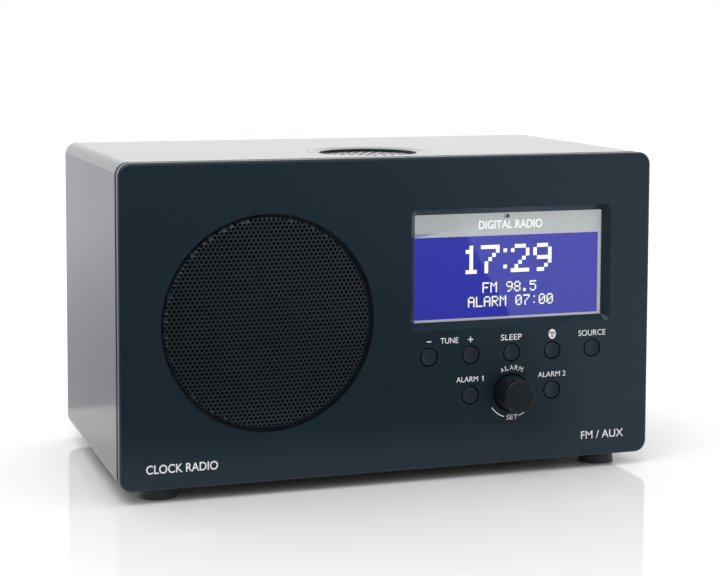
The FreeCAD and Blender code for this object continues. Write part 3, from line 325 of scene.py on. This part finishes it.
def lay_floor():
    """A wide white floor with a faint gloss."""
    bpy.ops.mesh.primitive_plane_add(size=12.0, location=(0, 0, 0))
    floor = bpy.context.object
    floor.name = "floor"
    white = Finish("white_floor", Roughness=0.06, Specular_IOR_Level=0.12)
    cloud = white.noise(0.4, 2.0)
    white.feed("Base Color", white.mixed(cloud, (0.93, 0.93, 0.945), (0.95, 0.95, 0.96)))
    spot = white.node("TexCoord", out="Object")
    far = white.ramp(white.node("VectorMath", {"operation": "LENGTH"}, {0: spot}, out="Value"), 0.35, 1.6)
    glow = white.node("Emission", sockets={"Color": (1, 1, 1, 1), "Strength": 1.0})
    surface = Wire(white, white.shader.outputs[0])
    white.shown(white.node("MixShader", sockets={0: far, 1: surface, 2: glow}))
    floor.data.materials.append(white.material)


def lay_card(card, finish, surface):
    """Gives a card its surface on its upper side. Only gloss picks it up."""
    finish.one_sided(surface)
    card.data.materials.append(finish.material)
    card.visible_camera = card.visible_diffuse = card.visible_transmission = card.visible_shadow = False


def lay_dark_card():
    """A dark card on the floor in front, which the panel and the window reflect.

    Its right edge runs away from the radio to the right."""
    near, far, wide, near_right, slant = -0.1, -2.0, 1.6, 0.0926, 0.627
    place = (near_right - wide / 2, (near + far) / 2, 0.5 * MM)
    bpy.ops.mesh.primitive_plane_add(size=1.0, location=place)
    card = bpy.context.object
    card.scale = (wide, near - far, 1)
    settled(card, "dark_card")
    opened(card)
    pick(card, "VERT", lambda v: v.co.y < (near + far) / 2)
    bpy.ops.transform.translate(value=(slant, 0, 0))
    bpy.ops.object.mode_set(mode="OBJECT")
    grey = Finish("card_grey", Roughness=0.9, Base_Color=(0.1, 0.105, 0.11, 1))
    lay_card(card, grey, Wire(grey, grey.shader.outputs[0]))


def lay_graded_card():
    """A pale card on the floor behind on the left, dimmer close by, which the left side reflects."""
    bpy.ops.mesh.primitive_plane_add(size=1.0, location=(-0.75, 0.95, 0.6 * MM))
    card = bpy.context.object
    card.scale = (1.3, 1.7, 1)
    settled(card, "graded_card")
    paper = Finish("graded_paper")
    way = paper.axes(paper.node("TexCoord", out="Object"))[1]
    level = paper.ramp(way, 0.1, 0.8, 0.67, 1.03)
    glow = paper.node("Emission", sockets={"Color": (0.985, 0.995, 1.05, 1), "Strength": level})
    lay_card(card, paper, glow)


light_studio()
bpy.context.scene.view_settings.view_transform = "Standard"
bpy.ops.object.select_all(action="DESELECT")
lay_floor()
lay_dark_card()
lay_graded_card()
soft_box("overhead_light", (-0.35, -0.5, 1.3), (0, 0, 0.05), 0.9, 0.9, 6.0)


# ---------------------------------------------------------------- finishes


def lacquer(name, shade, roughness, **constants):
    """Satin slate lacquer: a faint orange peel, and a very slight cloudiness."""
    coat = Finish(name, Specular_IOR_Level=0.42, **constants)
    cloud = coat.noise(25 * MM, 3.0)
    lighter = tuple(c * 1.12 + 0.0005 for c in shade)
    coat.feed("Base Color", coat.mixed(cloud, shade, lighter))
    peel = coat.noise(0.9 * MM, 2.0)
    coat.feed("Roughness", roughness + 0.04 * (peel - 0.5))
    coat.bump(peel, 0.0004 * MM)
    return coat


def moulded(name, shade, roughness=0.45, grain=0.25 * MM, depth=0.008 * MM, **constants):
    """Moulded plastic or rubber with a fine grain."""
    part = Finish(name, **constants)
    fine = part.noise(grain, 3.0, rough=0.6)
    broad = part.noise(12 * MM, 2.0)
    part.feed("Base Color", part.mixed(broad, shade, tuple(c * 1.15 + 0.001 for c in shade)))
    part.feed("Roughness", roughness + 0.12 * (fine - 0.5))
    part.bump(fine, depth)
    return part


def rolled(name, shade, roughness=0.35, way=(1, 18, 18), **constants):
    """Rolled or drawn metal, with streaks along its length."""
    part = Finish(name, Metallic=1.0, **constants)
    streak = part.noise(2.5 * MM, 3.0, scale=way)
    broad = part.noise(9 * MM, 2.0)
    part.feed("Base Color", part.mixed(broad, tuple(c * 0.86 for c in shade), shade))
    part.feed("Roughness", roughness + 0.16 * (streak - 0.5))
    part.bump(streak, 0.004 * MM)
    return part


def punched(name, shade):
    """Punched sheet metal: drawn faces, and the walls of its holes painted dark as shade inside the holes."""
    part = Finish(name, Metallic=1.0)
    streak = part.noise(2.5 * MM, 3.0, scale=(14, 1, 14))
    upright = part.axes(part.node("NewGeometry", out="True Normal"))[2]
    face = upright.maths("ABSOLUTE", upright).above(0.5)
    drawn = part.mixed(streak, tuple(c * 0.86 for c in shade), shade)
    # painted shade: every face that is not upright, the hole walls, gets a near-black colour
    part.feed("Base Color", part.mixed(face, (0.01, 0.012, 0.014), drawn))
    part.feed("Roughness", 0.3 + 0.16 * (streak - 0.5))
    part.bump(streak, 0.004 * MM)
    return part


def pressed_paper(name):
    """The loudspeaker's cone: black paper pulp with short fibres, darkened past the paper's own black as
    painted shade inside the cabinet behind the grille.
    """
    pulp = Finish(name, Specular_IOR_Level=0.3)
    fibre = pulp.noise(0.5 * MM, 5.0, rough=0.7)
    pulp.feed("Base Color", pulp.mixed(fibre, (0.004, 0.004, 0.0045), (0.011, 0.011, 0.012)))
    pulp.feed("Roughness", 0.75 + 0.2 * (fibre - 0.5))
    pulp.bump(fibre, 0.05 * MM)
    return pulp


def woven_disc(name):
    """The spider: resin-dipped cloth, woven."""
    cloth = Finish(name, Specular_IOR_Level=0.3)
    spot = cloth.place()
    warp = cloth.node("TexWave", {"bands_direction": "X"}, {"Vector": spot, "Scale": 320.0})
    weft = cloth.node("TexWave", {"bands_direction": "Z"}, {"Vector": spot, "Scale": 320.0})
    weave = warp.maths("MAXIMUM", warp, weft)
    cloth.feed("Base Color", cloth.mixed(weave, (0.28, 0.16, 0.05), (0.5, 0.32, 0.12)))
    cloth.feed("Roughness", 0.8 - 0.15 * weave)
    cloth.bump(weave, 0.08 * MM)
    return cloth


def wound_wire(name):
    """The voice coil: lacquered copper wire, turn beside turn."""
    coil = Finish(name, Metallic=1.0)
    turns = coil.node("TexWave", {"bands_direction": "Y"}, {"Vector": coil.place(), "Scale": 900.0})
    coil.feed("Base Color", coil.mixed(turns, (0.25, 0.06, 0.02), (0.8, 0.32, 0.14)))
    coil.feed("Roughness", 0.4 - 0.1 * turns)
    coil.bump(turns, 0.05 * MM)
    return coil


def open_foam(name):
    """The gasket: soft black foam with open cells, darkened past the foam's own black as painted shade behind
    the grille.
    """
    foam = Finish(name, Specular_IOR_Level=0.2)
    cells = foam.node("TexVoronoi", sockets={"Vector": foam.place(), "Scale": 1 / (0.6 * MM)})
    foam.feed("Base Color", foam.mixed(cells, (0.002, 0.002, 0.002), (0.007, 0.007, 0.008)))
    foam.feed("Roughness", 0.85 + 0.1 * cells)
    foam.bump(cells, 0.2 * MM)
    return foam


def circuit_board(name):
    """Green solder mask over copper tracks on glass laminate."""
    board = Finish(name)
    spot = board.place()
    cells = board.node("TexVoronoi", {"distance": "CHEBYCHEV"}, {"Vector": spot, "Scale": 1 / (3.4 * MM)})
    track = cells.above(0.42)
    haze = board.noise(0.35 * MM, 2.0)
    board.feed("Base Color", board.mixed(track, (0.01, 0.06, 0.025), (0.03, 0.15, 0.05)))
    board.feed("Roughness", 0.35 + 0.1 * (haze - 0.5))
    board.bump(track, 0.03 * MM)
    return board


def lit_glass(name):
    """The display's glass, lit from behind in blue, with the faint grid of its dots."""
    glass = Finish(name, Base_Color=(0.01, 0.012, 0.05, 1), Roughness=0.3, Emission_Strength=1.0,
                   Specular_IOR_Level=0.0)
    grid = glass.node("TexBrick", {"offset": 0.0}, {
        "Vector": glass.place(turn=FACING),
        "Color1": (1, 1, 1, 1), "Color2": (1, 1, 1, 1), "Mortar": (0, 0, 0, 1),
        "Scale": 1 / (0.5 * MM) / 2, "Mortar Size": 0.05, "Brick Width": 1.0, "Row Height": 1.0})
    low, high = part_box("lcd_panel")
    height = glass.axes(glass.place())[2]
    rise = ((height - low.z) / (high.z - low.z)).clipped()
    lamp = glass.mixed(rise, (0.019, 0.022, 0.345), (0.026, 0.03, 0.385))
    glass.feed("Emission Color", glass.mixed(0.9 + 0.1 * grid, (0.008, 0.009, 0.2), lamp))
    return glass


def silver_print_painted_glow(name):
    """The light grey print behind the display's window. It glows faintly: painted light that evens out the
    shade of its recess.
    """
    # painted light: the print's faint glow evens out the shade under the display's window
    ink = Finish(name, Specular_IOR_Level=0.2, Emission_Strength=0.27)
    flake = ink.noise(0.2 * MM, 2.0)
    pearl = ink.mixed(flake, (0.30, 0.317, 0.325), (0.35, 0.365, 0.37))
    ink.feed("Base Color", pearl)
    ink.feed("Emission Color", ink.mixed(flake, (0.92, 0.97, 1.0), (1.0, 1.0, 1.0)))
    ink.feed("Roughness", 0.45 + 0.15 * flake)
    return ink


def clear_sheet(name):
    """The display's window: clear acrylic, which shows only its gloss."""
    pane = Finish(name)
    gloss = pane.node("BsdfGlossy", sockets={"Color": (1, 1, 1, 1), "Roughness": 0.02})
    through = pane.node("BsdfTransparent", sockets={"Color": (0.97, 0.98, 0.98, 1)})
    edge = pane.node("Fresnel", sockets={"IOR": 1.68}) * (1 - pane.node("NewGeometry", out="Backfacing"))
    pane.shown(pane.node("MixShader", sockets={0: edge, 1: through, 2: gloss}))
    return pane


def ink(name, shade, glow=0.0):
    """Screen-printed ink, thick enough to look even, with a slight tooth."""
    paint = Finish(name, Specular_IOR_Level=0.3)
    tooth = paint.noise(0.12 * MM, 2.0)
    paint.feed("Base Color", paint.mixed(tooth, tuple(c * 0.94 for c in shade), shade))
    paint.feed("Roughness", 0.5 + 0.1 * (tooth - 0.5))
    if glow:
        paint.shader.inputs["Emission Strength"].default_value = glow
        paint.feed("Emission Color", paint.mixed(tooth, tuple(c * 0.97 for c in shade), shade))
    return paint


SLATE = (0.0056, 0.0146, 0.0222)
finishes = {
    "cabinet_lacquer": lacquer("cabinet_lacquer", SLATE, 0.18),
    "panel_lacquer": lacquer("panel_lacquer", SLATE, 0.28,
                             Specular_Tint=(0.78, 0.95, 1.07, 1)),
    "black_plastic": moulded("black_plastic", (0.012, 0.013, 0.014)),
    "button_plastic": moulded("button_plastic", (0.0085, 0.018, 0.0265), 0.38, Specular_IOR_Level=0.3),
    "knob_plastic": moulded("knob_plastic", (0.004, 0.0072, 0.0102), 0.4, Specular_IOR_Level=0.35),
    "grille_steel": moulded("grille_steel", (0.0072, 0.0138, 0.0195), 0.34, 0.35 * MM,
                            Specular_IOR_Level=0.45),
    # the basket and the surround are partly their own black and partly painted shade: darkened further so the
    # grille's holes look dark
    "basket_steel": moulded("basket_steel", (0.007, 0.007, 0.008), 0.4, 0.6 * MM, Specular_IOR_Level=0.25),
    "magnet_iron": rolled("magnet_iron", (0.42, 0.4, 0.33), 0.32),
    "ferrite": moulded("ferrite", (0.03, 0.03, 0.032), 0.55, 0.4 * MM, 0.02 * MM),
    "cone_paper": pressed_paper("cone_paper"),
    "surround_rubber": moulded("surround_rubber", (0.003, 0.003, 0.0035), 0.6, 0.4 * MM,
                               Specular_IOR_Level=0.2),
    "spider_cloth": woven_disc("spider_cloth"),
    "coil_copper": wound_wire("coil_copper"),
    "foam": open_foam("foam"),
    "screw_steel": rolled("screw_steel", (0.09, 0.09, 0.095), 0.38),
    "foot_rubber": moulded("foot_rubber", (0.03, 0.037, 0.045), 0.55, 0.3 * MM, 0.01 * MM),
    "clear_acrylic": clear_sheet("clear_acrylic"),
    "mask_print": silver_print_painted_glow("mask_print"),
    "lcd_glass": lit_glass("lcd_glass"),
    "white_plastic": moulded("white_plastic", (0.62, 0.62, 0.58), 0.45),
    "board_laminate": circuit_board("board_laminate"),
    "sensor_epoxy": moulded("sensor_epoxy", (0.003, 0.003, 0.004), 0.5, Specular_IOR_Level=0.1),
    "disc_steel": punched("disc_steel", (0.5, 0.5, 0.52)),
    "contact_brass": rolled("contact_brass", (0.72, 0.5, 0.2), 0.25),
    "cable_jacket": moulded("cable_jacket", (0.35, 0.35, 0.36), 0.5),
    "can_aluminium": rolled("can_aluminium", (0.75, 0.76, 0.78), 0.28, (18, 1, 18)),
    "module_shield": rolled("module_shield", (0.7, 0.7, 0.69), 0.32, (1, 1, 14)),
}
white_ink = ink("white_ink", (0.93, 0.95, 0.97))
lit_dots = ink("lit_dots", (0.86, 0.86, 0.75), 0.66)
# painted light: the header's printed ink glows so it stays bright in the shade under the display's window
window_ink_painted_glow = ink("window_ink_painted_glow", (0.9, 0.9, 0.9), 0.55)
dark_ink = ink("dark_ink", (0.012, 0.02, 0.026))

slot_of = {row["node"]: row["material_slot"] for row in frame["record"]["subparts"]}
for name, node in nodes.items():
    for holder in node.material_slots:
        holder.material = finishes[slot_of[name]].material


# ---------------------------------------------------------------- the perforated grille

PITCH = 1.5 * MM
ROW = PITCH * math.sqrt(3) / 2
HOLE = 0.5 * MM
GRILLE_RADIUS = 35.2 * MM  # outside of the grille's short wall


def nearest_hole(place):
    """The middle of the hole that a place in the grille's sheet belongs to."""
    rows = [math.floor(place.z / ROW), math.floor(place.z / ROW) + 1]
    spots = []
    for row in rows:
        start = PITCH / 2 if row % 2 else 0.0
        spots.append(Vector((round((place.x - start) / PITCH) * PITCH + start, place.y, row * ROW)))
    return min(spots, key=lambda spot: (spot - place).length)


def make_grille_sheet():
    """One hexagon with a round hole is repeated into a flat sheet, cut round, and pressed onto the dome."""
    low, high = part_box("speaker_grille")
    middle_of = (low + high) / 2
    lip_radius = (high.x - low.x) / 2
    bpy.ops.mesh.primitive_circle_add(vertices=12, radius=HOLE, fill_type="NOTHING", rotation=FACING)
    sheet = settled(bpy.context.object, "grille_sheet")
    opened(sheet)
    bpy.ops.mesh.extrude_region_move()
    bpy.ops.transform.resize(value=(PITCH / 2 / HOLE,) * 3, center_override=(0, 0, 0))
    pick(sheet, "VERT", lambda v: v.co.length > 1.2 * HOLE
         and round(math.degrees(math.atan2(v.co.z, v.co.x)) - 30) % 60 == 0)
    bpy.ops.transform.resize(value=(2 / math.sqrt(3),) * 3, center_override=(0, 0, 0))
    bpy.ops.object.mode_set(mode="OBJECT")
    across, rows = 2 * math.ceil(GRILLE_RADIUS / PITCH) + 1, math.ceil(GRILLE_RADIUS / ROW) + 1
    applied(sheet, "ARRAY", count=across, use_relative_offset=False, use_constant_offset=True,
            constant_offset_displace=(PITCH, 0, 0))
    applied(sheet, "ARRAY", count=rows, use_relative_offset=False, use_constant_offset=True,
            constant_offset_displace=(0, 0, 2 * ROW))
    between = copied(sheet, (PITCH / 2, 0, ROW))
    sheet = joined([sheet, between], "grille_sheet")
    start = Vector((-(across // 2) * PITCH, 0, -2 * (rows // 2) * ROW))
    sheet.location = start
    settled(sheet, "grille_sheet")
    opened(sheet)
    bpy.ops.mesh.remove_doubles(threshold=0.02 * MM)
    reach = GRILLE_RADIUS - 0.42 * PITCH
    pick(sheet, "FACE", lambda face: nearest_hole(middle(face)).xz.length > reach)
    bpy.ops.mesh.delete(type="FACE")
    pick(sheet, "EDGE", lambda edge: edge.is_boundary
         and (middle(edge) - nearest_hole(middle(edge))).length > 1.2 * HOLE)
    mesh = bmesh.from_edit_mesh(sheet.data)
    for vertex in mesh.verts:
        if vertex.select:
            vertex.co *= (GRILLE_RADIUS - 0.06 * MM) / vertex.co.length
    bmesh.update_edit_mesh(sheet.data)
    bpy.ops.object.mode_set(mode="OBJECT")
    sheet.location = (middle_of.x, low.y - 3 * MM, middle_of.z)
    settled(sheet, "grille_sheet")
    applied(sheet, "SHRINKWRAP", wrap_method="PROJECT", use_project_y=True, use_positive_direction=True,
            use_negative_direction=False, target=nodes["speaker_grille"])
    centre = Vector((middle_of.x, 0, middle_of.z))
    bpy.ops.object.mode_set(mode="EDIT")
    rim = GRILLE_RADIUS - 0.1 * MM
    pick(sheet, "EDGE", lambda edge: edge.is_boundary
         and all((v.co.xz - centre.xz).length > rim for v in edge.verts))
    for back, radius in ((0.2 * MM, GRILLE_RADIUS), (0.0, GRILLE_RADIUS), (0.0, lip_radius)):
        mesh = bmesh.from_edit_mesh(sheet.data)
        ring = [v for v in mesh.verts if v.select]
        depth = sum(v.co.y for v in ring) / len(ring)
        span = sum((v.co.xz - centre.xz).length for v in ring) / len(ring)
        goal = depth + back if back else high.y - 0.3 * MM
        bpy.ops.mesh.extrude_region_move(TRANSFORM_OT_translate={"value": (0, goal - depth, 0)})
        bpy.ops.transform.resize(value=(radius / span, 1, radius / span), center_override=centre)
    bpy.ops.mesh.select_all(action="SELECT")
    bpy.ops.mesh.normals_make_consistent(inside=False)
    mesh = bmesh.from_edit_mesh(sheet.data)
    if sum(face.normal.y for face in mesh.faces) > 0:
        bpy.ops.mesh.flip_normals()
    bpy.ops.object.mode_set(mode="OBJECT")
    applied(sheet, "SOLIDIFY", thickness=0.3 * MM, offset=-1.0)
    bpy.ops.object.shade_smooth_by_angle(angle=math.radians(14))
    dressed(sheet, finishes["grille_steel"])
    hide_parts("speaker_grille")


make_grille_sheet()


# ---------------------------------------------------------------- printed lettering


def letters(words, wide, high, place, name, turn=FACING, finish=None, weight=0.0):
    """Lettering of a given width and height, printed round a middle point."""
    bpy.ops.object.text_add()
    text = bpy.context.object
    text.data.body = words
    text.data.align_x, text.data.align_y = "CENTER", "CENTER"
    text.data.extrude, text.data.offset = 0.5, weight
    alone(text)
    bpy.ops.object.convert(target="MESH")
    text = bpy.context.object
    corners = [Vector(c) for c in text.bound_box]
    low = Vector(min(c[i] for c in corners) for i in range(3))
    high_corner = Vector(max(c[i] for c in corners) for i in range(3))
    size = high_corner - low
    text.data.transform(Matrix.Translation(-(low + high_corner) / 2))
    text.data.transform(Matrix.Diagonal((wide / size.x, high / size.y, 2 * INK / size.z, 1)))
    text.rotation_euler = turn
    text.location = place
    settled(text, name)
    if finish:
        dressed(text, finish)
    return text


def on_panel(x, z):
    """A place on the front panel's face, in millimetres from the panel's middle and its bottom edge."""
    return Vector((x * MM, FRONT_FACE - INK / 2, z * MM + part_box("cabinet")[0].z))


def label(words, x, z, wide, high, name, weight=0.0):
    return letters(words, wide * MM, high * MM, on_panel(x, z), name, finish=white_ink, weight=weight)


def bar(x, z, wide, high):
    """A short printed line: a flat plate with its corners taken off."""
    bpy.ops.mesh.primitive_plane_add(size=1.0, location=on_panel(x, z), rotation=FACING)
    plate = bpy.context.object
    plate.scale = (wide * MM, high * MM, 1)
    settled(plate, "bar")
    opened(plate)
    bpy.ops.mesh.bevel(offset=0.12 * min(wide, high) * MM, affect="VERTICES", segments=2)
    thickened(INK)
    return plate


def print_button_labels():
    dressed(bar(11.45, 43.35, 1.7, 0.32), white_ink).name = "tune_down_label"
    plus = [bar(26.45, 43.4, 1.9, 0.34), bar(26.45, 43.96, 0.34, 0.78), bar(26.45, 42.84, 0.34, 0.78)]
    dressed(joined(plus, "tune_up_label"), white_ink)
    label("TUNE", 18.8, 43.4, 6.4, 1.95, "tune_label")
    label("SLEEP", 41.45, 43.4, 7.7, 2.0, "sleep_label")
    label("SOURCE", 71.75, 43.4, 10.3, 2.0, "source_label")
    label("ALARM", 25.35, 29.8, 7.9, 1.8, "alarm_1_label")
    one = [bar(31.2, 29.8, 0.3, 1.8), bar(30.86, 30.32, 0.38, 0.26)]
    dressed(joined(one, "alarm_1_numeral"), white_ink)
    label("ALARM 2", 56.7, 29.8, 10.4, 1.8, "alarm_2_label")


def curved(words, radius, high, step, name):
    """Capital letters set one by one round the knob, upright at the top."""
    low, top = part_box("tuning_knob")
    hub = (low + top) / 2
    set_letters = []
    for i, letter in enumerate(words):
        angle = (i - (len(words) - 1) / 2) * step
        spot = hub + radius * Vector((math.sin(angle), 0, math.cos(angle)))
        spot.y = FRONT_FACE - INK / 2
        piece = letters(letter, 0.76 * high * (1.15 if letter == "M" else 1), high, spot, letter,
                        turn=Euler((math.pi / 2, angle, 0)))
        set_letters.append(piece)
    dressed(joined(set_letters, name), white_ink)


def set_arc(side):
    """One tapering arc beside the word under the knob: a ring cut to a short sweep, thin at its outer end."""
    low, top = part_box("tuning_knob")
    hub = Vector(((low.x + top.x) / 2, FRONT_FACE, (low.z + top.z) / 2))
    bpy.ops.mesh.primitive_circle_add(vertices=180, radius=8.75 * MM, fill_type="NOTHING", rotation=FACING,
                                      location=hub - Vector((0, INK, 0)))
    arc = settled(bpy.context.object, "set_arc")
    opened(arc)
    bpy.ops.mesh.extrude_region_move()
    off_hub = hub + Vector((0.28 * MM * side, 0, 0.2 * MM))
    bpy.ops.transform.resize(value=(0.965, 1, 0.965), center_override=off_hub)

    def outside(face):
        spot = middle(face) - hub
        sweep = math.degrees(math.atan2(side * spot.x, -spot.z))
        return not 19 < sweep < 56

    pick(arc, "FACE", outside)
    bpy.ops.mesh.delete(type="FACE")
    bpy.ops.mesh.select_all(action="SELECT")
    thickened(INK)
    return arc


def ring_arc(centre, radius, width, sweep, turn):
    """A flat arc of a ring, opening upwards and then turned about its centre."""
    bpy.ops.mesh.primitive_circle_add(vertices=48, radius=radius, fill_type="NOTHING", rotation=FACING,
                                      location=centre)
    arc = settled(bpy.context.object, "wave")
    opened(arc)
    bpy.ops.mesh.extrude_region_move()
    bpy.ops.transform.resize(value=((radius + width) / radius,) * 3, center_override=centre)

    def outside(face):
        spot = middle(face) - Vector(centre)
        way = math.degrees(math.atan2(spot.z, spot.x)) - turn
        return abs((way + 180) % 360 - 180) > sweep / 2

    pick(arc, "FACE", outside)
    bpy.ops.mesh.delete(type="FACE")
    bpy.ops.mesh.select_all(action="SELECT")
    thickened(INK)
    return arc


def print_wireless_mark():
    """A white upright oval with dark waves on it, above the wireless button."""
    centre = on_panel(56.7, 43.7)
    bpy.ops.mesh.primitive_circle_add(vertices=48, radius=1.35 * MM, fill_type="NGON", rotation=FACING,
                                      location=centre)
    oval = bpy.context.object
    oval.scale = (1, 1.26, 1)
    settled(oval, "wireless_oval")
    opened(oval)
    bpy.ops.mesh.inset(thickness=0.08 * MM)
    bpy.ops.mesh.extrude_region_move(TRANSFORM_OT_translate={"value": (0, -0.2 * INK, 0)})
    bpy.ops.mesh.select_all(action="SELECT")
    bpy.ops.object.mode_set(mode="OBJECT")
    dressed(oval, white_ink)
    source = centre + Vector((0, -1.3 * INK, -0.75 * MM))
    waves = [ring_arc(source, radius * MM, 0.3 * MM, sweep, 90)
             for radius, sweep in ((0.05, 360), (0.7, 110), (1.3, 84))]
    dressed(joined(waves, "wireless_waves"), dark_ink)


print_button_labels()
curved("ALARM", 8.65 * MM, 1.65 * MM, math.radians(11.7), "knob_alarm_label")
label("SET", 42.0, 15.75, 4.2, 1.7, "set_label")
dressed(joined([set_arc(-1), set_arc(1)], "set_arcs"), white_ink)
print_wireless_mark()
label("CLOCK RADIO", -73.2, 7.0, 23.6, 2.9, "kind_label", 0.012)
label("FM / AUX", 76.2, 7.5, 16.2, 2.8, "bands_label", 0.004)


# ---------------------------------------------------------------- the display's dots and header

FIVE_BY_SEVEN = {
    "0": ".XXX. X...X X..XX X.X.X XX..X X...X .XXX.",
    "2": ".XXX. X...X ....X ...X. ..X.. .X... XXXXX",
    "5": "XXXXX X.... XXXX. ....X ....X X...X .XXX.",
    "7": "XXXXX ....X ...X. ..X.. .X... .X... .X...",
    "8": ".XXX. X...X X...X .XXX. X...X X...X .XXX.",
    "9": ".XXX. X...X X...X .XXXX ....X ...X. .XX..",
    "A": ".XXX. X...X X...X XXXXX X...X X...X X...X",
    "F": "XXXXX X.... X.... XXXX. X.... X.... X....",
    "L": "X.... X.... X.... X.... X.... X.... XXXXX",
    "M": "X...X XX.XX X.X.X X...X X...X X...X X...X",
    "R": "XXXX. X...X X...X XXXX. X.X.. X..X. X...X",
    ".": "..... ..... ..... ..... ..... .XX.. .XX..",
    ":": "..... ..X.. ..... ..... ..... ..X.. .....",
    " ": "..... ..... ..... ..... ..... ..... .....",
}
CLOCK = {
    "1": ".X. XX. .X. .X. .X. .X. XXX",
    "7": FIVE_BY_SEVEN["7"],
    "2": FIVE_BY_SEVEN["2"],
    "9": FIVE_BY_SEVEN["9"],
    ":": ". X . . . X .",
}


def dot_line(words, shapes, left, top, wide, high, gap, name):
    """A line of lit dots, each letter a column apart. Left and top are in metres in the frame."""
    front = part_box("lcd_panel")[0].y - 0.03 * MM
    bpy.ops.mesh.primitive_plane_add(size=1.0, rotation=FACING)
    dot = bpy.context.object
    dot.scale = (0.95 * wide, 0.95 * high, 1)
    settled(dot, "dot")
    opened(dot)
    thickened(0.02 * MM)
    dots, x = [], left
    for letter in words:
        lines = shapes[letter].split()
        for down, line in enumerate(lines):
            for along, mark in enumerate(line):
                if mark == "X":
                    dots.append(copied(dot, (x + (along + 0.5) * wide, front, top - (down + 0.5) * high)))
        x += (len(lines[0]) + gap) * wide
    bpy.data.objects.remove(dot)
    dressed(joined(dots, name), lit_dots)


def light_display():
    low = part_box("lcd_panel")[0]
    big, small = (1.39 * MM, 1.39 * MM), (0.487 * MM, 0.515 * MM)
    for words, shapes, left, top, dot, name in (
            ("17:29", CLOCK, 19.9, 26.2, big, "clock_digits"),
            ("FM 98.5", FIVE_BY_SEVEN, 26.2, 13.4, small, "station_line"),
            ("ALARM 07:00", FIVE_BY_SEVEN, 20.9, 8.6, small, "alarm_line")):
        dot_line(words, shapes, low.x + left * MM, low.z + top * MM, *dot, 1, name)
    low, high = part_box("display_mask")
    place = Vector(((low.x + high.x) / 2 + 1.0 * MM, low.y - 0.01 * MM, high.z - 5.6 * MM))
    letters("DIGITAL RADIO", 23.5 * MM, 2.9 * MM, place, "header_label", finish=window_ink_painted_glow, weight=0.012)


light_display()


# ---------------------------------------------------------------- the back


def rear_label(words, node, wide, name):
    """A word printed on the back panel above a socket."""
    low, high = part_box(node)
    place = Vector(((low.x + high.x) / 2, BACK_FACE + INK / 2, high.z + 4.0 * MM))
    letters(words, wide * MM, 2.2 * MM, place, name, turn=AWAY, finish=white_ink)


rear_label("DC", "power_inlet", 3.6, "power_label")
rear_label("AERIAL", "aerial_socket", 9.6, "aerial_label")
rear_label("AUX", "aux_socket", 5.6, "aux_label")
rear_label("PHONES", "headphone_socket", 10.4, "phones_label")
